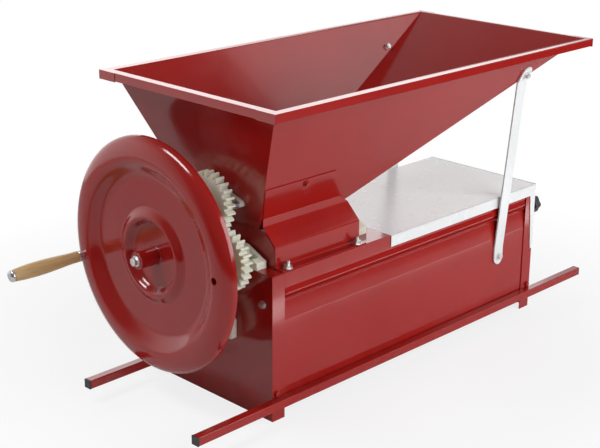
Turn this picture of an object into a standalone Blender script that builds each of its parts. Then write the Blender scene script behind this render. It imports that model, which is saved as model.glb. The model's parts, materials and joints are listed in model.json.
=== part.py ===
"""Grape crusher destemmer, hand cranked, free standing. Metres, +Z up.

The machine is laid out with x = 0 on the outer face of the left end panel, y = 0 on the middle plane of the
body and z = 0 on the floor. The flywheel is at -X, the hopper's long side runs along +X and the front is -Y.
An empty called datum then carries the whole machine, so that the middle of its base is at the world origin.
"""

import math

import bmesh
import bpy
from mathutils import Matrix, Vector

# Clearances
SEAT_GAP = 0.0003
RUN_GAP = 0.0003
CUT_OVERRUN = 0.002

# Body: two end panels with folded posts, a front and a rear wall
BODY_LENGTH = 0.8263
BODY_WIDTH = 0.3026
PANEL_HEIGHT = 0.2955
POST_WIDTH = 0.0324
PANEL_SHEET = 0.0020
WALL_SHEET = 0.0015
WALL_SETBACK = 0.0003
WALL_FOOT_HEIGHT = 0.036
WALL_FLANGE = 0.015
BEAD_DROP = 0.040
BEAD_WIDTH = 0.016
BEAD_DEPTH = 0.0018
GROOVE_DEPTH = 0.0030
CREASE_DROP = 0.0955
LEAN_DEPTH = 0.0040
CORNER_RELIEF = 0.0006

# Skids: square tubes outside the posts, with plastic plugs
SKID_TUBE = 0.018
SKID_WALL = 0.0015
SKID_HEIGHT = 0.032
SKID_REACH_LEFT = 0.2025
SKID_REACH_RIGHT = 0.1817
PLUG_CAP = 0.003
PLUG_INSERT = 0.010

# Crusher frame: the plate on top of the body that carries the rollers
FRAME_BEYOND_HOUSING = 0.070
FRAME_SHEET = 0.0020
FRAME_BAND = 0.0286
FRAME_LEDGE = 0.033
FRAME_END_WIDTH = 0.256
FRAME_REST = 0.0029

# Hopper: a sheet funnel with a folded rim and a short collar
HOPPER_LENGTH = 0.910
HOPPER_WIDTH = 0.444
HOPPER_OVERHANG = 0.0591
HOPPER_SHEET = 0.0015
FUNNEL_RISE = 0.263
LIP_WIDTH = 0.020
LIP_DROP = 0.016
THROAT_INSET = 0.0020
THROAT_END_INSET = 0.0039
THROAT_WIDTH = 0.168
THROAT_RISE = 0.059
COLLAR_DEPTH = 0.007

# Roller housing: bent aprons and flat end walls
APRON_SHEET = 0.0015
APRON_INSET = 0.0029
HOUSING_LENGTH = 0.2299
APRON_TOP_RISE = 0.088
APRON_TOP_CUT = 0.0734
APRON_BEND_RISE = 0.017
APRON_BEND_CUT = 0.0224
APRON_STRIP = 0.016
APRON_FACE_WIDTH = 0.258
APRON_SHOULDER_DROP = 0.031
APRON_FOOT = 0.0215
APRON_BEND_RADIUS = 0.0045
APRON_BOLT_INSET = 0.020
APRON_WASHER_RADIUS = 0.0095
APRON_NUT_RADIUS = 0.0082
APRON_STUD_HEAD_RADIUS = 0.0052
HOUSING_SHEET = 0.0015

# Nylon gears: three equal gears, one large drive gear and its pinion
GEAR_MODULE = 0.0045
GEAR_TEETH = 25
GEAR_FACE = 0.020
GEAR_BACK_X = -0.0156
DRIVE_MODULE = 0.004
DRIVE_TEETH = 60
PINION_TEETH = 19
DRIVE_FACE = 0.018
DRIVE_FRONT_X = -0.0626
PINION_EXTRA = 0.002
GEAR_BACKLASH = 0.0005
GEAR_BOSS_RADIUS = 0.021
GEAR_BOSS_LENGTH = 0.006
GEAR_PRESSURE_ANGLE = math.radians(20)
ADDENDUM_SHARE = 0.95
DEDENDUM_SHARE = 1.20

# Rollers, in line with the flywheel's shaft
SHAFT_RISE = 0.0149
SHAFT_RADIUS = 0.0125
ROLLER_END_GAP = 0.003
ROLLER_RADIUS = 0.050
ROLLER_LOBE_HEIGHT = 0.005
ROLLER_LOBES = 8
SHAFT_STUB = 0.004

# Nylon bearing blocks on both sides of the rollers
BLOCK_LENGTH = 0.0244
BLOCK_SPAN = 0.1074
BLOCK_FOOT_HEIGHT = 0.014
BLOCK_CROWN_RADIUS = 0.0215
BLOCK_RIGHT_GAP = 0.019
BLOCK_POCKET_DEPTH = 0.004
BLOCK_POCKET_INSET = 0.013
BLOCK_POCKET_WIDTH = 0.022
BLOCK_POCKET_HEIGHT = 0.016

# Agitator over the rollers
AGITATOR_LEAN = math.radians(66.3)
AGITATOR_RADIUS = 0.010
AGITATOR_FINGER_RADIUS = 0.004
AGITATOR_FINGER_REACH = 0.036
AGITATOR_FINGERS = 6
AGITATOR_FINGER_MARGIN = 0.0235
AGITATOR_EAR_PITCH = 0.088
AGITATOR_EAR_RADIUS = 0.008
AGITATOR_BEARING_HEIGHT = 0.048
AGITATOR_GEAR_GAP = 0.0098
AGITATOR_BOSS_RADIUS = 0.017
AGITATOR_BOSS_LENGTH = 0.008
AGITATOR_BUSH_LENGTH = 0.033
AGITATOR_BUSH_DROP = 0.022
AGITATOR_BUSH_COVER = 0.012
AGITATOR_BUSH_WIDTH = 0.044

# Destemmer: paddle shaft inside a perforated half-round screen
PADDLE_COUNT = 16
PADDLE_REACH = 0.086
PADDLE_STEM_WIDTH = 0.010
PADDLE_BLADE_WIDTH = 0.032
PADDLE_BLADE_HEIGHT = 0.024
PADDLE_THICKNESS = 0.004
PADDLE_START = 0.060
PADDLE_END_INSET = 0.0413
PADDLE_STEP = math.radians(75)
PADDLE_PITCH = math.radians(35)
SCREEN_RADIUS = 0.094
SCREEN_SHEET = 0.0015
SCREEN_SIDE_HEIGHT = 0.030
SCREEN_FLANGE = 0.0505
SCREEN_FACETS = 12
SCREEN_HOLE_RADIUS = 0.0095
SCREEN_HOLE_COLUMNS = 13
SCREEN_HOLE_MARGIN = 0.060
RAIL_LEG = 0.015
RAIL_SHEET = 0.002
FLANGE_BEARING_SPAN = 0.106
FLANGE_BEARING_HEIGHT = 0.042
FLANGE_BEARING_CHAMFER = 0.003
FLANGE_BEARING_THICKNESS = 0.0123
OUTLET_RADIUS = 0.088
OUTLET_BAR = 0.040
OUTLET_BUSH_RADIUS = 0.019
OUTLET_BUSH_LENGTH = 0.008
SHAFT_HOLE_CLEARANCE = 0.003

# Pressed steel flywheel
WHEEL_RADIUS = 0.231
WHEEL_SHEET = 0.003
WHEEL_WEB_X = -0.1126
WHEEL_RIM_RISE = 0.018
WHEEL_RIM_ROLL = 0.019
WHEEL_RIM_SKIRT = 0.004
WHEEL_WEB_RADIUS = 0.150
WHEEL_CHANNEL_RADIUS = 0.178
WHEEL_RING_RADIUS = 0.098
WHEEL_RING_CREST_RADIUS = 0.075
WHEEL_RING_RISE = 0.008
WHEEL_FLOOR_RADIUS = 0.060
WHEEL_FLOOR_DROP = 0.006
WHEEL_SEGMENTS = 44
WHEEL_HOLE_RADIUS = 0.003
WHEEL_HOLE_PITCH_RADIUS = 0.155
HUB_RADIUS = 0.0165
HUB_FRONT_X = -0.1506
HUB_BACK_X = -0.0700
HUB_WASHER_RADIUS = 0.0107
HUB_WASHER_THICKNESS = 0.002
HUB_BOLT_RADIUS = 0.0085
HUB_BOLT_HEAD = 0.007
HUB_BOLT_SHANK_RADIUS = 0.004
HUB_BOLT_SHANK_LENGTH = 0.020

# Crank handle near the rim
HANDLE_RADIUS = 0.2045
HANDLE_ANGLE = math.radians(-13.2)
HANDLE_TIP_X = -0.300
HANDLE_SPINDLE_RADIUS = 0.006
HANDLE_CAP_THICKNESS = 0.003
HANDLE_CAP_RADIUS = 0.0105
HANDLE_COLLAR_RADIUS = 0.010
HANDLE_NUT_RADIUS = 0.0075
HANDLE_NUT_THICKNESS = 0.007
HANDLE_NUT_GAP = 0.0014
HANDLE_COLLAR_LENGTH = 0.006
GRIP_ROOT_RADIUS = 0.0115
GRIP_SWELL_RADIUS = 0.0145
GRIP_TIP_RADIUS = 0.0120
FERRULE_LENGTH = 0.012

# Struts from the hopper down to the walls
STRUT_INSET = 0.1289
STRUT_WIDTH = 0.030
STRUT_SHEET = 0.004
STRUT_FOOT_DROP = 0.1575
STRUT_FOOT_BOLT_DROP = 0.1385
STRUT_FOOT_BEND_DROP = 0.1175
STRUT_TOP_BEND_DROP = 0.077
STRUT_TOP_BOLT_DROP = 0.057
STRUT_TOP_DROP = 0.041
STRUT_END_ROWS = 4
BOLT_RADIUS = 0.004
BOLT_HEAD_RADIUS = 0.0065
BOLT_HEAD_THICKNESS = 0.0055
BOLT_WASHER_RADIUS = 0.0072
BOLT_WASHER_THICKNESS = 0.0016
STUD_TAIL = 0.008

# White cover with its end flap and knobs
COVER_GAP = 0.0006
COVER_SHEET = 0.0015
COVER_FLANGE = 0.0245
FLAP_DROP = 0.1515
FLAP_INSET = 0.003
FLAP_RETURN_TOP = 0.018
FLAP_RETURN_FOOT = 0.007
FLAP_ARCH_CLEARANCE = 0.006
KNOB_Y = 0.128
KNOB_DROP = 0.0565
KNOB_RADIUS = 0.021
KNOB_LOBE_HEIGHT = 0.003
KNOB_LOBES = 6
KNOB_THICKNESS = 0.018
KNOB_NECK_RADIUS = 0.011
KNOB_NECK_LENGTH = 0.012
KNOB_STUD_RADIUS = 0.004
KNOB_STUD_LENGTH = 0.012

# Worked out from the sizes above
HALF_BODY = BODY_WIDTH / 2
FRAME_TOP = PANEL_HEIGHT + SEAT_GAP + FRAME_SHEET
BAND_FOOT = FRAME_TOP - FRAME_SHEET - FRAME_BAND
SEAT_TOP = FRAME_TOP + SEAT_GAP
APRON_START = POST_WIDTH - APRON_INSET
APRON_END = APRON_START + HOUSING_LENGTH
FRAME_LENGTH = APRON_END + FRAME_BEYOND_HOUSING
SHAFT_HEIGHT = SEAT_TOP + SHAFT_RISE
THROAT_HEIGHT = SHAFT_HEIGHT + THROAT_RISE
RIM_HEIGHT = THROAT_HEIGHT + FUNNEL_RISE
ROLLER_SPACING = GEAR_MODULE * GEAR_TEETH
REAR_Y = ROLLER_SPACING / 2
FRONT_Y = -REAR_Y
AGITATOR_Y = FRONT_Y + ROLLER_SPACING * math.cos(AGITATOR_LEAN)
AGITATOR_Z = SHAFT_HEIGHT + ROLLER_SPACING * math.sin(AGITATOR_LEAN)
DRIVE_DISTANCE = DRIVE_MODULE * (DRIVE_TEETH + PINION_TEETH) / 2
DESTEMMER_Z = SHAFT_HEIGHT - math.sqrt(DRIVE_DISTANCE ** 2 - REAR_Y ** 2)
WALL_OUTER_Y = HALF_BODY - PANEL_SHEET - WALL_SETBACK
WALL_INNER_Y = WALL_OUTER_Y - WALL_SHEET
BEAD_HIGH = PANEL_HEIGHT - BEAD_DROP
BEAD_LOW = BEAD_HIGH - BEAD_WIDTH
CREASE_HEIGHT = PANEL_HEIGHT - CREASE_DROP
HOPPER_X0 = -HOPPER_OVERHANG
HOPPER_X1 = HOPPER_X0 + HOPPER_LENGTH
THROAT_START = APRON_START + THROAT_INSET
THROAT_END = APRON_END - THROAT_END_INSET
SIDE_SLOPE = (HOPPER_WIDTH - THROAT_WIDTH) / 2 / FUNNEL_RISE
LEFT_SLOPE = (THROAT_START - HOPPER_X0) / FUNNEL_RISE
RIGHT_SLOPE = (HOPPER_X1 - THROAT_END) / FUNNEL_RISE
APRON_TOP_HEIGHT = THROAT_HEIGHT + APRON_TOP_RISE
APRON_BEND_HEIGHT = THROAT_HEIGHT + APRON_BEND_RISE
APRON_SHOULDER_HEIGHT = THROAT_HEIGHT - APRON_SHOULDER_DROP
ROLLER_START = APRON_START + HOUSING_SHEET + ROLLER_END_GAP
ROLLER_END = APRON_END - HOUSING_SHEET - ROLLER_END_GAP
BLOCK_RIGHT_START = APRON_END + BLOCK_RIGHT_GAP
SHAFT_END_X = BLOCK_RIGHT_START + BLOCK_LENGTH + SHAFT_STUB
GEAR_FRONT_X = GEAR_BACK_X - GEAR_FACE
DRIVE_BACK_X = DRIVE_FRONT_X + DRIVE_FACE
DRIVE_DIRECTION = math.atan2(DESTEMMER_Z - SHAFT_HEIGHT, -REAR_Y)
SCREEN_TOP = DESTEMMER_Z + SCREEN_SIDE_HEIGHT
FLAP_X = BODY_LENGTH + SEAT_GAP
COVER_TOP = PANEL_HEIGHT + SEAT_GAP + COVER_SHEET
COVER_START = FRAME_LENGTH + COVER_GAP
KNOB_HEIGHT = PANEL_HEIGHT - KNOB_DROP
FLAP_HEIGHT = PANEL_HEIGHT - FLAP_DROP
STRUT_X = BODY_LENGTH - STRUT_INSET
HANDLE_Y = REAR_Y + HANDLE_RADIUS * math.cos(HANDLE_ANGLE)
HANDLE_Z = SHAFT_HEIGHT + HANDLE_RADIUS * math.sin(HANDLE_ANGLE)
WHEEL_CREST_X = WHEEL_WEB_X - WHEEL_RIM_RISE
SKID_START = -SKID_REACH_LEFT
SKID_END = BODY_LENGTH + SKID_REACH_RIGHT

BOLT_RADII = (BOLT_WASHER_RADIUS, BOLT_HEAD_RADIUS)

SIDES = (("front", -1), ("rear", 1))
ENDS = (("left", -1), ("right", 1))

RED = (0.30, 0.009, 0.007)
WHITE = (0.86, 0.86, 0.87)
NYLON = (0.80, 0.79, 0.66)
STEEL = (0.60, 0.60, 0.61)
BEECH = (0.62, 0.42, 0.20)
BLACK = (0.03, 0.03, 0.03)


def clear_scene():
    for old in list(bpy.data.objects):
        bpy.data.objects.remove(old, do_unlink=True)


def make_object(name, bm):
    """Turns a bmesh into an object whose faces all point outwards."""
    bmesh.ops.recalc_face_normals(bm, faces=bm.faces)
    mesh = bpy.data.meshes.new(name)
    bm.to_mesh(mesh)
    bm.free()
    obj = bpy.data.objects.new(name, mesh)
    bpy.context.collection.objects.link(obj)
    return obj


def bake(obj):
    """Replaces the object's mesh by what its modifiers make of it."""
    graph = bpy.context.evaluated_depsgraph_get()
    mesh = bpy.data.meshes.new_from_object(obj.evaluated_get(graph))
    old = obj.data
    obj.modifiers.clear()
    obj.data = mesh
    mesh.name = obj.name
    bpy.data.meshes.remove(old)
    return obj


def combine(target, other, operation):
    modifier = target.modifiers.new(operation.title(), "BOOLEAN")
    modifier.operation = operation
    modifier.solver = "EXACT"
    modifier.object = other
    bake(target)
    bpy.data.objects.remove(other, do_unlink=True)
    return target


def fuse(target, *others):
    for other in others:
        combine(target, other, "UNION")
    return target


def cut(target, *cutters):
    for cutter in cutters:
        combine(target, cutter, "DIFFERENCE")
    return target


def box(name, low, high):
    bm = bmesh.new()
    bmesh.ops.create_cube(bm, size=1)
    centre = [(a + b) / 2 for a, b in zip(low, high)]
    size = [b - a for a, b in zip(low, high)]
    bmesh.ops.transform(bm, matrix=Matrix.Translation(centre) @ Matrix.Diagonal((*size, 1)), verts=bm.verts)
    return make_object(name, bm)


def prism(name, outline, start, end, axis="X"):
    """Extrudes an outline, (y, z) along X or (x, z) along Y, from start to end."""
    bm = bmesh.new()
    rings = []
    for station in (start, end):
        if axis == "X":
            rings.append([bm.verts.new((station, a, b)) for a, b in outline])
        else:
            rings.append([bm.verts.new((a, station, b)) for a, b in outline])
    bm.faces.new(rings[0])
    bm.faces.new(reversed(rings[1]))
    count = len(outline)
    for i in range(count):
        j = (i + 1) % count
        bm.faces.new((rings[0][i], rings[0][j], rings[1][j], rings[1][i]))
    return make_object(name, bm)


def turned(name, profile, segments, y=0.0, z=0.0, ring=False):
    """Revolves (x, radius) points round the X axis through y, z; a ring profile is a closed loop."""
    bm = bmesh.new()
    rows = []
    for x, radius in profile:
        if radius == 0:
            rows.append([bm.verts.new((x, y, z))])
            continue
        angles = [2 * math.pi * i / segments for i in range(segments)]
        rows.append([bm.verts.new((x, y + radius * math.cos(a), z + radius * math.sin(a))) for a in angles])
    pairs = list(zip(rows, rows[1:]))
    if ring:
        pairs.append((rows[-1], rows[0]))
    for first, second in pairs:
        for i in range(segments):
            j = (i + 1) % segments
            corners = [row[k % len(row)] for row, k in ((first, i), (first, j), (second, j), (second, i))]
            bm.faces.new(list(dict.fromkeys(corners)))
    return make_object(name, bm)


def rod(name, x0, x1, radius, y, z, segments=16):
    return turned(name, [(x0, 0), (x0, radius), (x1, radius), (x1, 0)], segments, y, z)


def drill(target, x0, x1, radius, y, z, segments=16):
    return cut(target, rod("drill", x0, x1, radius, y, z, segments))


def running_radius(shaft_radius, segments=16):
    """Radius of a faceted bore whose flats clear the shaft by the running gap."""
    return (shaft_radius + RUN_GAP) / math.cos(math.pi / segments)


def pin_between(name, start, end, radius, segments=12):
    """A round pin from one point to another."""
    start = Vector(start)
    end = Vector(end)
    bm = bmesh.new()
    bmesh.ops.create_cone(bm, cap_ends=True, segments=segments, radius1=radius, radius2=radius,
                          depth=(end - start).length)
    turn = (end - start).to_track_quat("Z", "Y").to_matrix().to_4x4()
    bmesh.ops.transform(bm, matrix=Matrix.Translation((start + end) / 2) @ turn, verts=bm.verts)
    return make_object(name, bm)


def strip(name, rows, thickness, grow):
    """Folded sheet: rows of (x0, x1, y, z), thickened along (grow 1) or against (-1) X cross the path."""
    bm = bmesh.new()
    edges = [(bm.verts.new((x0, y, z)), bm.verts.new((x1, y, z))) for x0, x1, y, z in rows]
    for (a0, a1), (b0, b1) in zip(edges, edges[1:]):
        bm.faces.new((a0, a1, b1, b0))
    return thicken(name, bm, thickness, grow)


def thicken(name, bm, thickness, grow):
    """Gives a surface its sheet thickness, on the side its normals point to or on the other."""
    mesh = bpy.data.meshes.new(name)
    bm.normal_update()
    bm.to_mesh(mesh)
    bm.free()
    obj = bpy.data.objects.new(name, mesh)
    bpy.context.collection.objects.link(obj)
    modifier = obj.modifiers.new("Sheet", "SOLIDIFY")
    modifier.thickness = thickness
    modifier.offset = grow
    modifier.use_even_offset = True
    modifier.use_quality_normals = True
    bake(obj)
    bm = bmesh.new()
    bm.from_mesh(obj.data)
    bmesh.ops.recalc_face_normals(bm, faces=bm.faces)
    bm.to_mesh(obj.data)
    bm.free()
    return obj


def rounded(path, radius, steps=3):
    """Replaces the inner corners of a (y, z) path by arcs of the bend radius."""
    points = [Vector(p) for p in path]
    result = [points[0]]
    for before, corner, after in zip(points, points[1:], points[2:]):
        back = (before - corner).normalized()
        ahead = (after - corner).normalized()
        half = back.angle(ahead) / 2
        reach = radius / math.tan(half)
        centre = corner + (back + ahead).normalized() * (radius / math.sin(half))
        start = corner + back * reach - centre
        end = corner + ahead * reach - centre
        for i in range(steps + 1):
            result.append(centre + start.slerp(end, i / steps) * radius)
    result.append(points[-1])
    return [tuple(p) for p in result]


def gear_outline(teeth, module, phase, y, z):
    """Involute teeth: the outline of a spur gear in the plane across its shaft."""
    pitch = module * teeth / 2
    base = pitch * math.cos(GEAR_PRESSURE_ANGLE)
    tip = pitch + module * ADDENDUM_SHARE
    root = pitch - module * DEDENDUM_SHARE
    half = math.pi / (2 * teeth) - GEAR_BACKLASH / (2 * pitch)

    def half_angle(radius):
        roll = math.acos(min(1.0, base / radius))
        involute = math.tan(GEAR_PRESSURE_ANGLE) - GEAR_PRESSURE_ANGLE
        return half + involute - (math.tan(roll) - roll)

    foot = max(base, root)
    flank = [(foot, half_angle(foot)), (pitch, half_angle(pitch)), (tip, half_angle(tip))]
    if root < base:
        flank.insert(0, (root, half_angle(foot)))
    outline = []
    for tooth in range(teeth):
        middle = phase + 2 * math.pi * tooth / teeth
        for radius, angle in flank:
            outline.append((radius, middle - angle))
        for radius, angle in reversed(flank):
            outline.append((radius, middle + angle))
    return [(y + r * math.cos(a), z + r * math.sin(a)) for r, a in outline]


def meshing_phase(direction, driver_phase, driver_teeth, teeth):
    """Phase that puts a follower's tooth gap where the driver's tooth meets it."""
    offset = (driver_phase - direction) * driver_teeth / teeth
    return direction + math.pi - offset + math.pi / teeth


def gear(name, teeth, module, phase, x0, x1, y, z, shaft_radius, bosses=()):
    body = prism(name, gear_outline(teeth, module, phase, y, z), x0, x1)
    for start, end in bosses:
        fuse(body, rod("boss", start, end, GEAR_BOSS_RADIUS, y, z))
    low = min([x0] + [b[0] for b in bosses]) - CUT_OVERRUN
    high = max([x1] + [b[1] for b in bosses]) + CUT_OVERRUN
    return drill(body, low, high, running_radius(shaft_radius), y, z)


def finish(obj, colour, roughness, metallic=0.0, smooth=True):
    material = bpy.data.materials.new(obj.name)
    material.use_nodes = True
    shader = material.node_tree.nodes["Principled BSDF"]
    shader.inputs["Base Color"].default_value = (*colour, 1.0)
    shader.inputs["Roughness"].default_value = roughness
    shader.inputs["Metallic"].default_value = metallic
    obj.data.materials.clear()
    obj.data.materials.append(material)
    if smooth:
        obj.data.shade_smooth()
        obj.data.set_sharp_from_angle(angle=math.radians(32))
    return obj


def painted(obj):
    return finish(obj, RED, 0.22)


def zinc(obj):
    return finish(obj, STEEL, 0.30, 0.95)


def nylon(obj):
    return finish(obj, NYLON, 0.45)


def hang_on_axis(objects, y, z, x=0.0):
    """Moves each object's origin onto its joint's axis, with its surface left in place."""
    pivot = Vector((x, y, z))
    for obj in objects:
        obj.data.transform(Matrix.Translation(-pivot))
        obj.location = pivot


def apron_path():
    """Inner surface of the front apron in (distance from the middle, z), from the top edge to the foot."""
    lean = math.hypot(1, SIDE_SLOPE)
    offset = (HOPPER_SHEET + SEAT_GAP) * lean

    def beside_hopper(z):
        return THROAT_WIDTH / 2 + SIDE_SLOPE * (z - THROAT_HEIGHT) + offset

    strip_y = beside_hopper(APRON_BEND_HEIGHT)
    face_y = APRON_FACE_WIDTH / 2 - APRON_SHEET
    return [
        (beside_hopper(APRON_TOP_HEIGHT), APRON_TOP_HEIGHT),
        (strip_y, APRON_BEND_HEIGHT),
        (strip_y, APRON_BEND_HEIGHT - APRON_STRIP),
        (face_y, APRON_SHOULDER_HEIGHT),
        (face_y, SEAT_TOP),
        (face_y + APRON_FOOT, SEAT_TOP),
    ]


def hopper_left_x(z):
    """Inner face of the hopper's left wall at a height."""
    return THROAT_START - LEFT_SLOPE * (z - THROAT_HEIGHT)


def hopper_right_x(z):
    return THROAT_END + RIGHT_SLOPE * (z - THROAT_HEIGHT)


def build_end_panel(side, sign):
    """Folded end panel: its front and rear flanges run down to the floor as posts."""
    face_x = 0.0 if sign < 0 else BODY_LENGTH
    inner_x = face_x - sign * POST_WIDTH
    top_y = WALL_INNER_Y - SEAT_GAP
    bm = bmesh.new()

    def vert(x, y, z):
        return bm.verts.new((x, y, z))

    low_front = vert(face_x, -HALF_BODY, 0)
    low_rear = vert(face_x, HALF_BODY, 0)
    high_front = vert(face_x, -HALF_BODY, PANEL_HEIGHT)
    high_rear = vert(face_x, HALF_BODY, PANEL_HEIGHT)
    fold_front = vert(face_x, -top_y, PANEL_HEIGHT)
    fold_rear = vert(face_x, top_y, PANEL_HEIGHT)
    flange_front = vert(inner_x, -top_y, PANEL_HEIGHT)
    flange_rear = vert(inner_x, top_y, PANEL_HEIGHT)
    post_front = [vert(inner_x, -HALF_BODY, z) for z in (0, PANEL_HEIGHT)]
    post_rear = [vert(inner_x, HALF_BODY, z) for z in (0, PANEL_HEIGHT)]
    bm.faces.new((low_front, low_rear, high_rear, fold_rear, fold_front, high_front))
    bm.faces.new((fold_front, fold_rear, flange_rear, flange_front))
    bm.faces.new((low_front, high_front, post_front[1], post_front[0]))
    bm.faces.new((low_rear, post_rear[0], post_rear[1], high_rear))
    bmesh.ops.recalc_face_normals(bm, faces=bm.faces)
    bm.normal_update()
    main = max(bm.faces, key=lambda f: f.calc_area())
    outward = main.normal.x * sign > 0
    return thicken(f"end_panel_{side}", bm, PANEL_SHEET, -1 if outward else 1)


def build_left_panel():
    panel = build_end_panel("left", -1)
    hole = SHAFT_RADIUS + SHAFT_HOLE_CLEARANCE
    drill(panel, -CUT_OVERRUN, PANEL_SHEET + CUT_OVERRUN, hole, 0, DESTEMMER_Z)
    return painted(panel)


def build_right_panel():
    """The stems leave through two windows, above and below the bar that holds the paddle shaft."""
    panel = build_end_panel("right", 1)
    x0 = BODY_LENGTH - PANEL_SHEET - CUT_OVERRUN
    x1 = BODY_LENGTH + CUT_OVERRUN
    outlet = rod("outlet", x0, x1, OUTLET_RADIUS, 0, DESTEMMER_Z, 28)
    reach = OUTLET_RADIUS + CUT_OVERRUN
    half_bar = OUTLET_BAR / 2
    bar = box("bar", (x0 - CUT_OVERRUN, -reach, DESTEMMER_Z - half_bar),
              (x1 + CUT_OVERRUN, reach, DESTEMMER_Z + half_bar))
    cut(outlet, bar)
    cut(panel, outlet)
    drill(panel, x0, x1, SHAFT_RADIUS + SHAFT_HOLE_CLEARANCE, 0, DESTEMMER_Z)
    for sign in (-1, 1):
        drill(panel, x0, x1, running_radius(KNOB_STUD_RADIUS, 12), sign * KNOB_Y, KNOB_HEIGHT, 12)
    return painted(panel)


def build_wall(side, sign):
    """Long wall that leans in above a crease up to a double bead, with its top flange turned inwards."""
    x0 = PANEL_SHEET + SEAT_GAP
    x1 = BODY_LENGTH - x0
    short = POST_WIDTH + SEAT_GAP
    outer = sign * WALL_OUTER_Y
    proud = sign * (WALL_OUTER_Y + BEAD_DEPTH)
    sunk = sign * (WALL_OUTER_Y - GROOVE_DEPTH)
    leaning = sign * (WALL_OUTER_Y - LEAN_DEPTH)
    bead_x0 = short + BEAD_DEPTH
    bead_x1 = BODY_LENGTH - bead_x0
    rows = [
        (x0, x1, outer, WALL_FOOT_HEIGHT),
        (x0, x1, outer, CREASE_HEIGHT),
        (x0, x1, leaning, BEAD_LOW - CORNER_RELIEF),
        (bead_x0, bead_x1, leaning, BEAD_LOW),
        (bead_x0, bead_x1, proud, BEAD_LOW + BEAD_WIDTH / 4),
        (bead_x0, bead_x1, sunk, BEAD_LOW + BEAD_WIDTH * 5 / 8),
        (bead_x0, bead_x1, proud, BEAD_HIGH - BEAD_WIDTH / 8),
        (bead_x0, bead_x1, proud, BEAD_HIGH),
        (bead_x0, bead_x1, outer, BAND_FOOT - 2 * CORNER_RELIEF),
        (x0, x1, outer, BAND_FOOT - CORNER_RELIEF),
        (x0, x1, outer, PANEL_HEIGHT - PANEL_SHEET - CORNER_RELIEF),
        (short, BODY_LENGTH - short, outer, PANEL_HEIGHT - PANEL_SHEET),
        (short, BODY_LENGTH - short, outer, PANEL_HEIGHT),
        (short, BODY_LENGTH - short, sign * (WALL_OUTER_Y - WALL_FLANGE), PANEL_HEIGHT),
    ]
    wall = strip(f"wall_{side}", rows, WALL_SHEET, sign)
    bolt_z = PANEL_HEIGHT - STRUT_FOOT_BOLT_DROP
    hole = pin_between("hole", (STRUT_X, sign * (WALL_INNER_Y - CUT_OVERRUN), bolt_z),
                       (STRUT_X, sign * (WALL_OUTER_Y + CUT_OVERRUN), bolt_z),
                       running_radius(BOLT_RADIUS, 12))
    cut(wall, hole)
    for x in apron_bolt_stations():
        cut(wall, apron_bolt_hole(x, sign, PANEL_HEIGHT - WALL_SHEET, PANEL_HEIGHT))
    return painted(wall)


def build_skid(side, sign):
    inner = HALF_BODY + SEAT_GAP
    middle = sign * (inner + SKID_TUBE / 2)
    half = SKID_TUBE / 2
    bore = half - SKID_WALL
    centre = SKID_HEIGHT + half
    x0 = SKID_START + PLUG_CAP + SEAT_GAP
    x1 = SKID_END - PLUG_CAP - SEAT_GAP
    tube = box(f"skid_{side}", (x0, middle - half, centre - half), (x1, middle + half, centre + half))
    cut(tube, box("bore", (x0 - CUT_OVERRUN, middle - bore, centre - bore),
                  (x1 + CUT_OVERRUN, middle + bore, centre + bore)))
    painted(tube)
    for end, direction in ENDS:
        outer_x = SKID_START if direction < 0 else SKID_END
        cap_x = outer_x - direction * PLUG_CAP
        insert_x = cap_x - direction * PLUG_INSERT
        insert = bore - SEAT_GAP
        plug = box(f"skid_plug_{side}_{end}", (min(outer_x, cap_x), middle - half, centre - half),
                   (max(outer_x, cap_x), middle + half, centre + half))
        overlap = cap_x + direction * PLUG_CAP / 2
        fuse(plug, box("insert", (min(overlap, insert_x), middle - insert, centre - insert),
                       (max(overlap, insert_x), middle + insert, centre + insert)))
        finish(plug, BLACK, 0.5)


def build_crusher_frame():
    """Top plate with a rectangular opening for the rollers and bands turned down over the walls."""
    low = PANEL_HEIGHT + SEAT_GAP
    plate = box("crusher_frame", (0, -HALF_BODY, low), (FRAME_LENGTH, HALF_BODY, FRAME_TOP))
    opening_y = HALF_BODY - FRAME_LEDGE
    cut(plate, box("opening", (POST_WIDTH, -opening_y, low - CUT_OVERRUN),
                   (APRON_END - FRAME_REST, opening_y, FRAME_TOP + CUT_OVERRUN)))
    inner = HALF_BODY - FRAME_SHEET
    for sign in (-1, 1):
        fuse(plate, box("band", (POST_WIDTH + SEAT_GAP, min(sign * inner, sign * HALF_BODY), BAND_FOOT),
                        (FRAME_LENGTH, max(sign * inner, sign * HALF_BODY), FRAME_TOP)))
    half_end = FRAME_END_WIDTH / 2
    end_x = FRAME_LENGTH - FRAME_SHEET
    fuse(plate, box("end", (end_x, -half_end, BAND_FOOT), (FRAME_LENGTH, half_end, FRAME_TOP)))
    for x in apron_bolt_stations():
        for sign in (-1, 1):
            cut(plate, apron_bolt_hole(x, sign, low, FRAME_TOP))
    return painted(plate)


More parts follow.
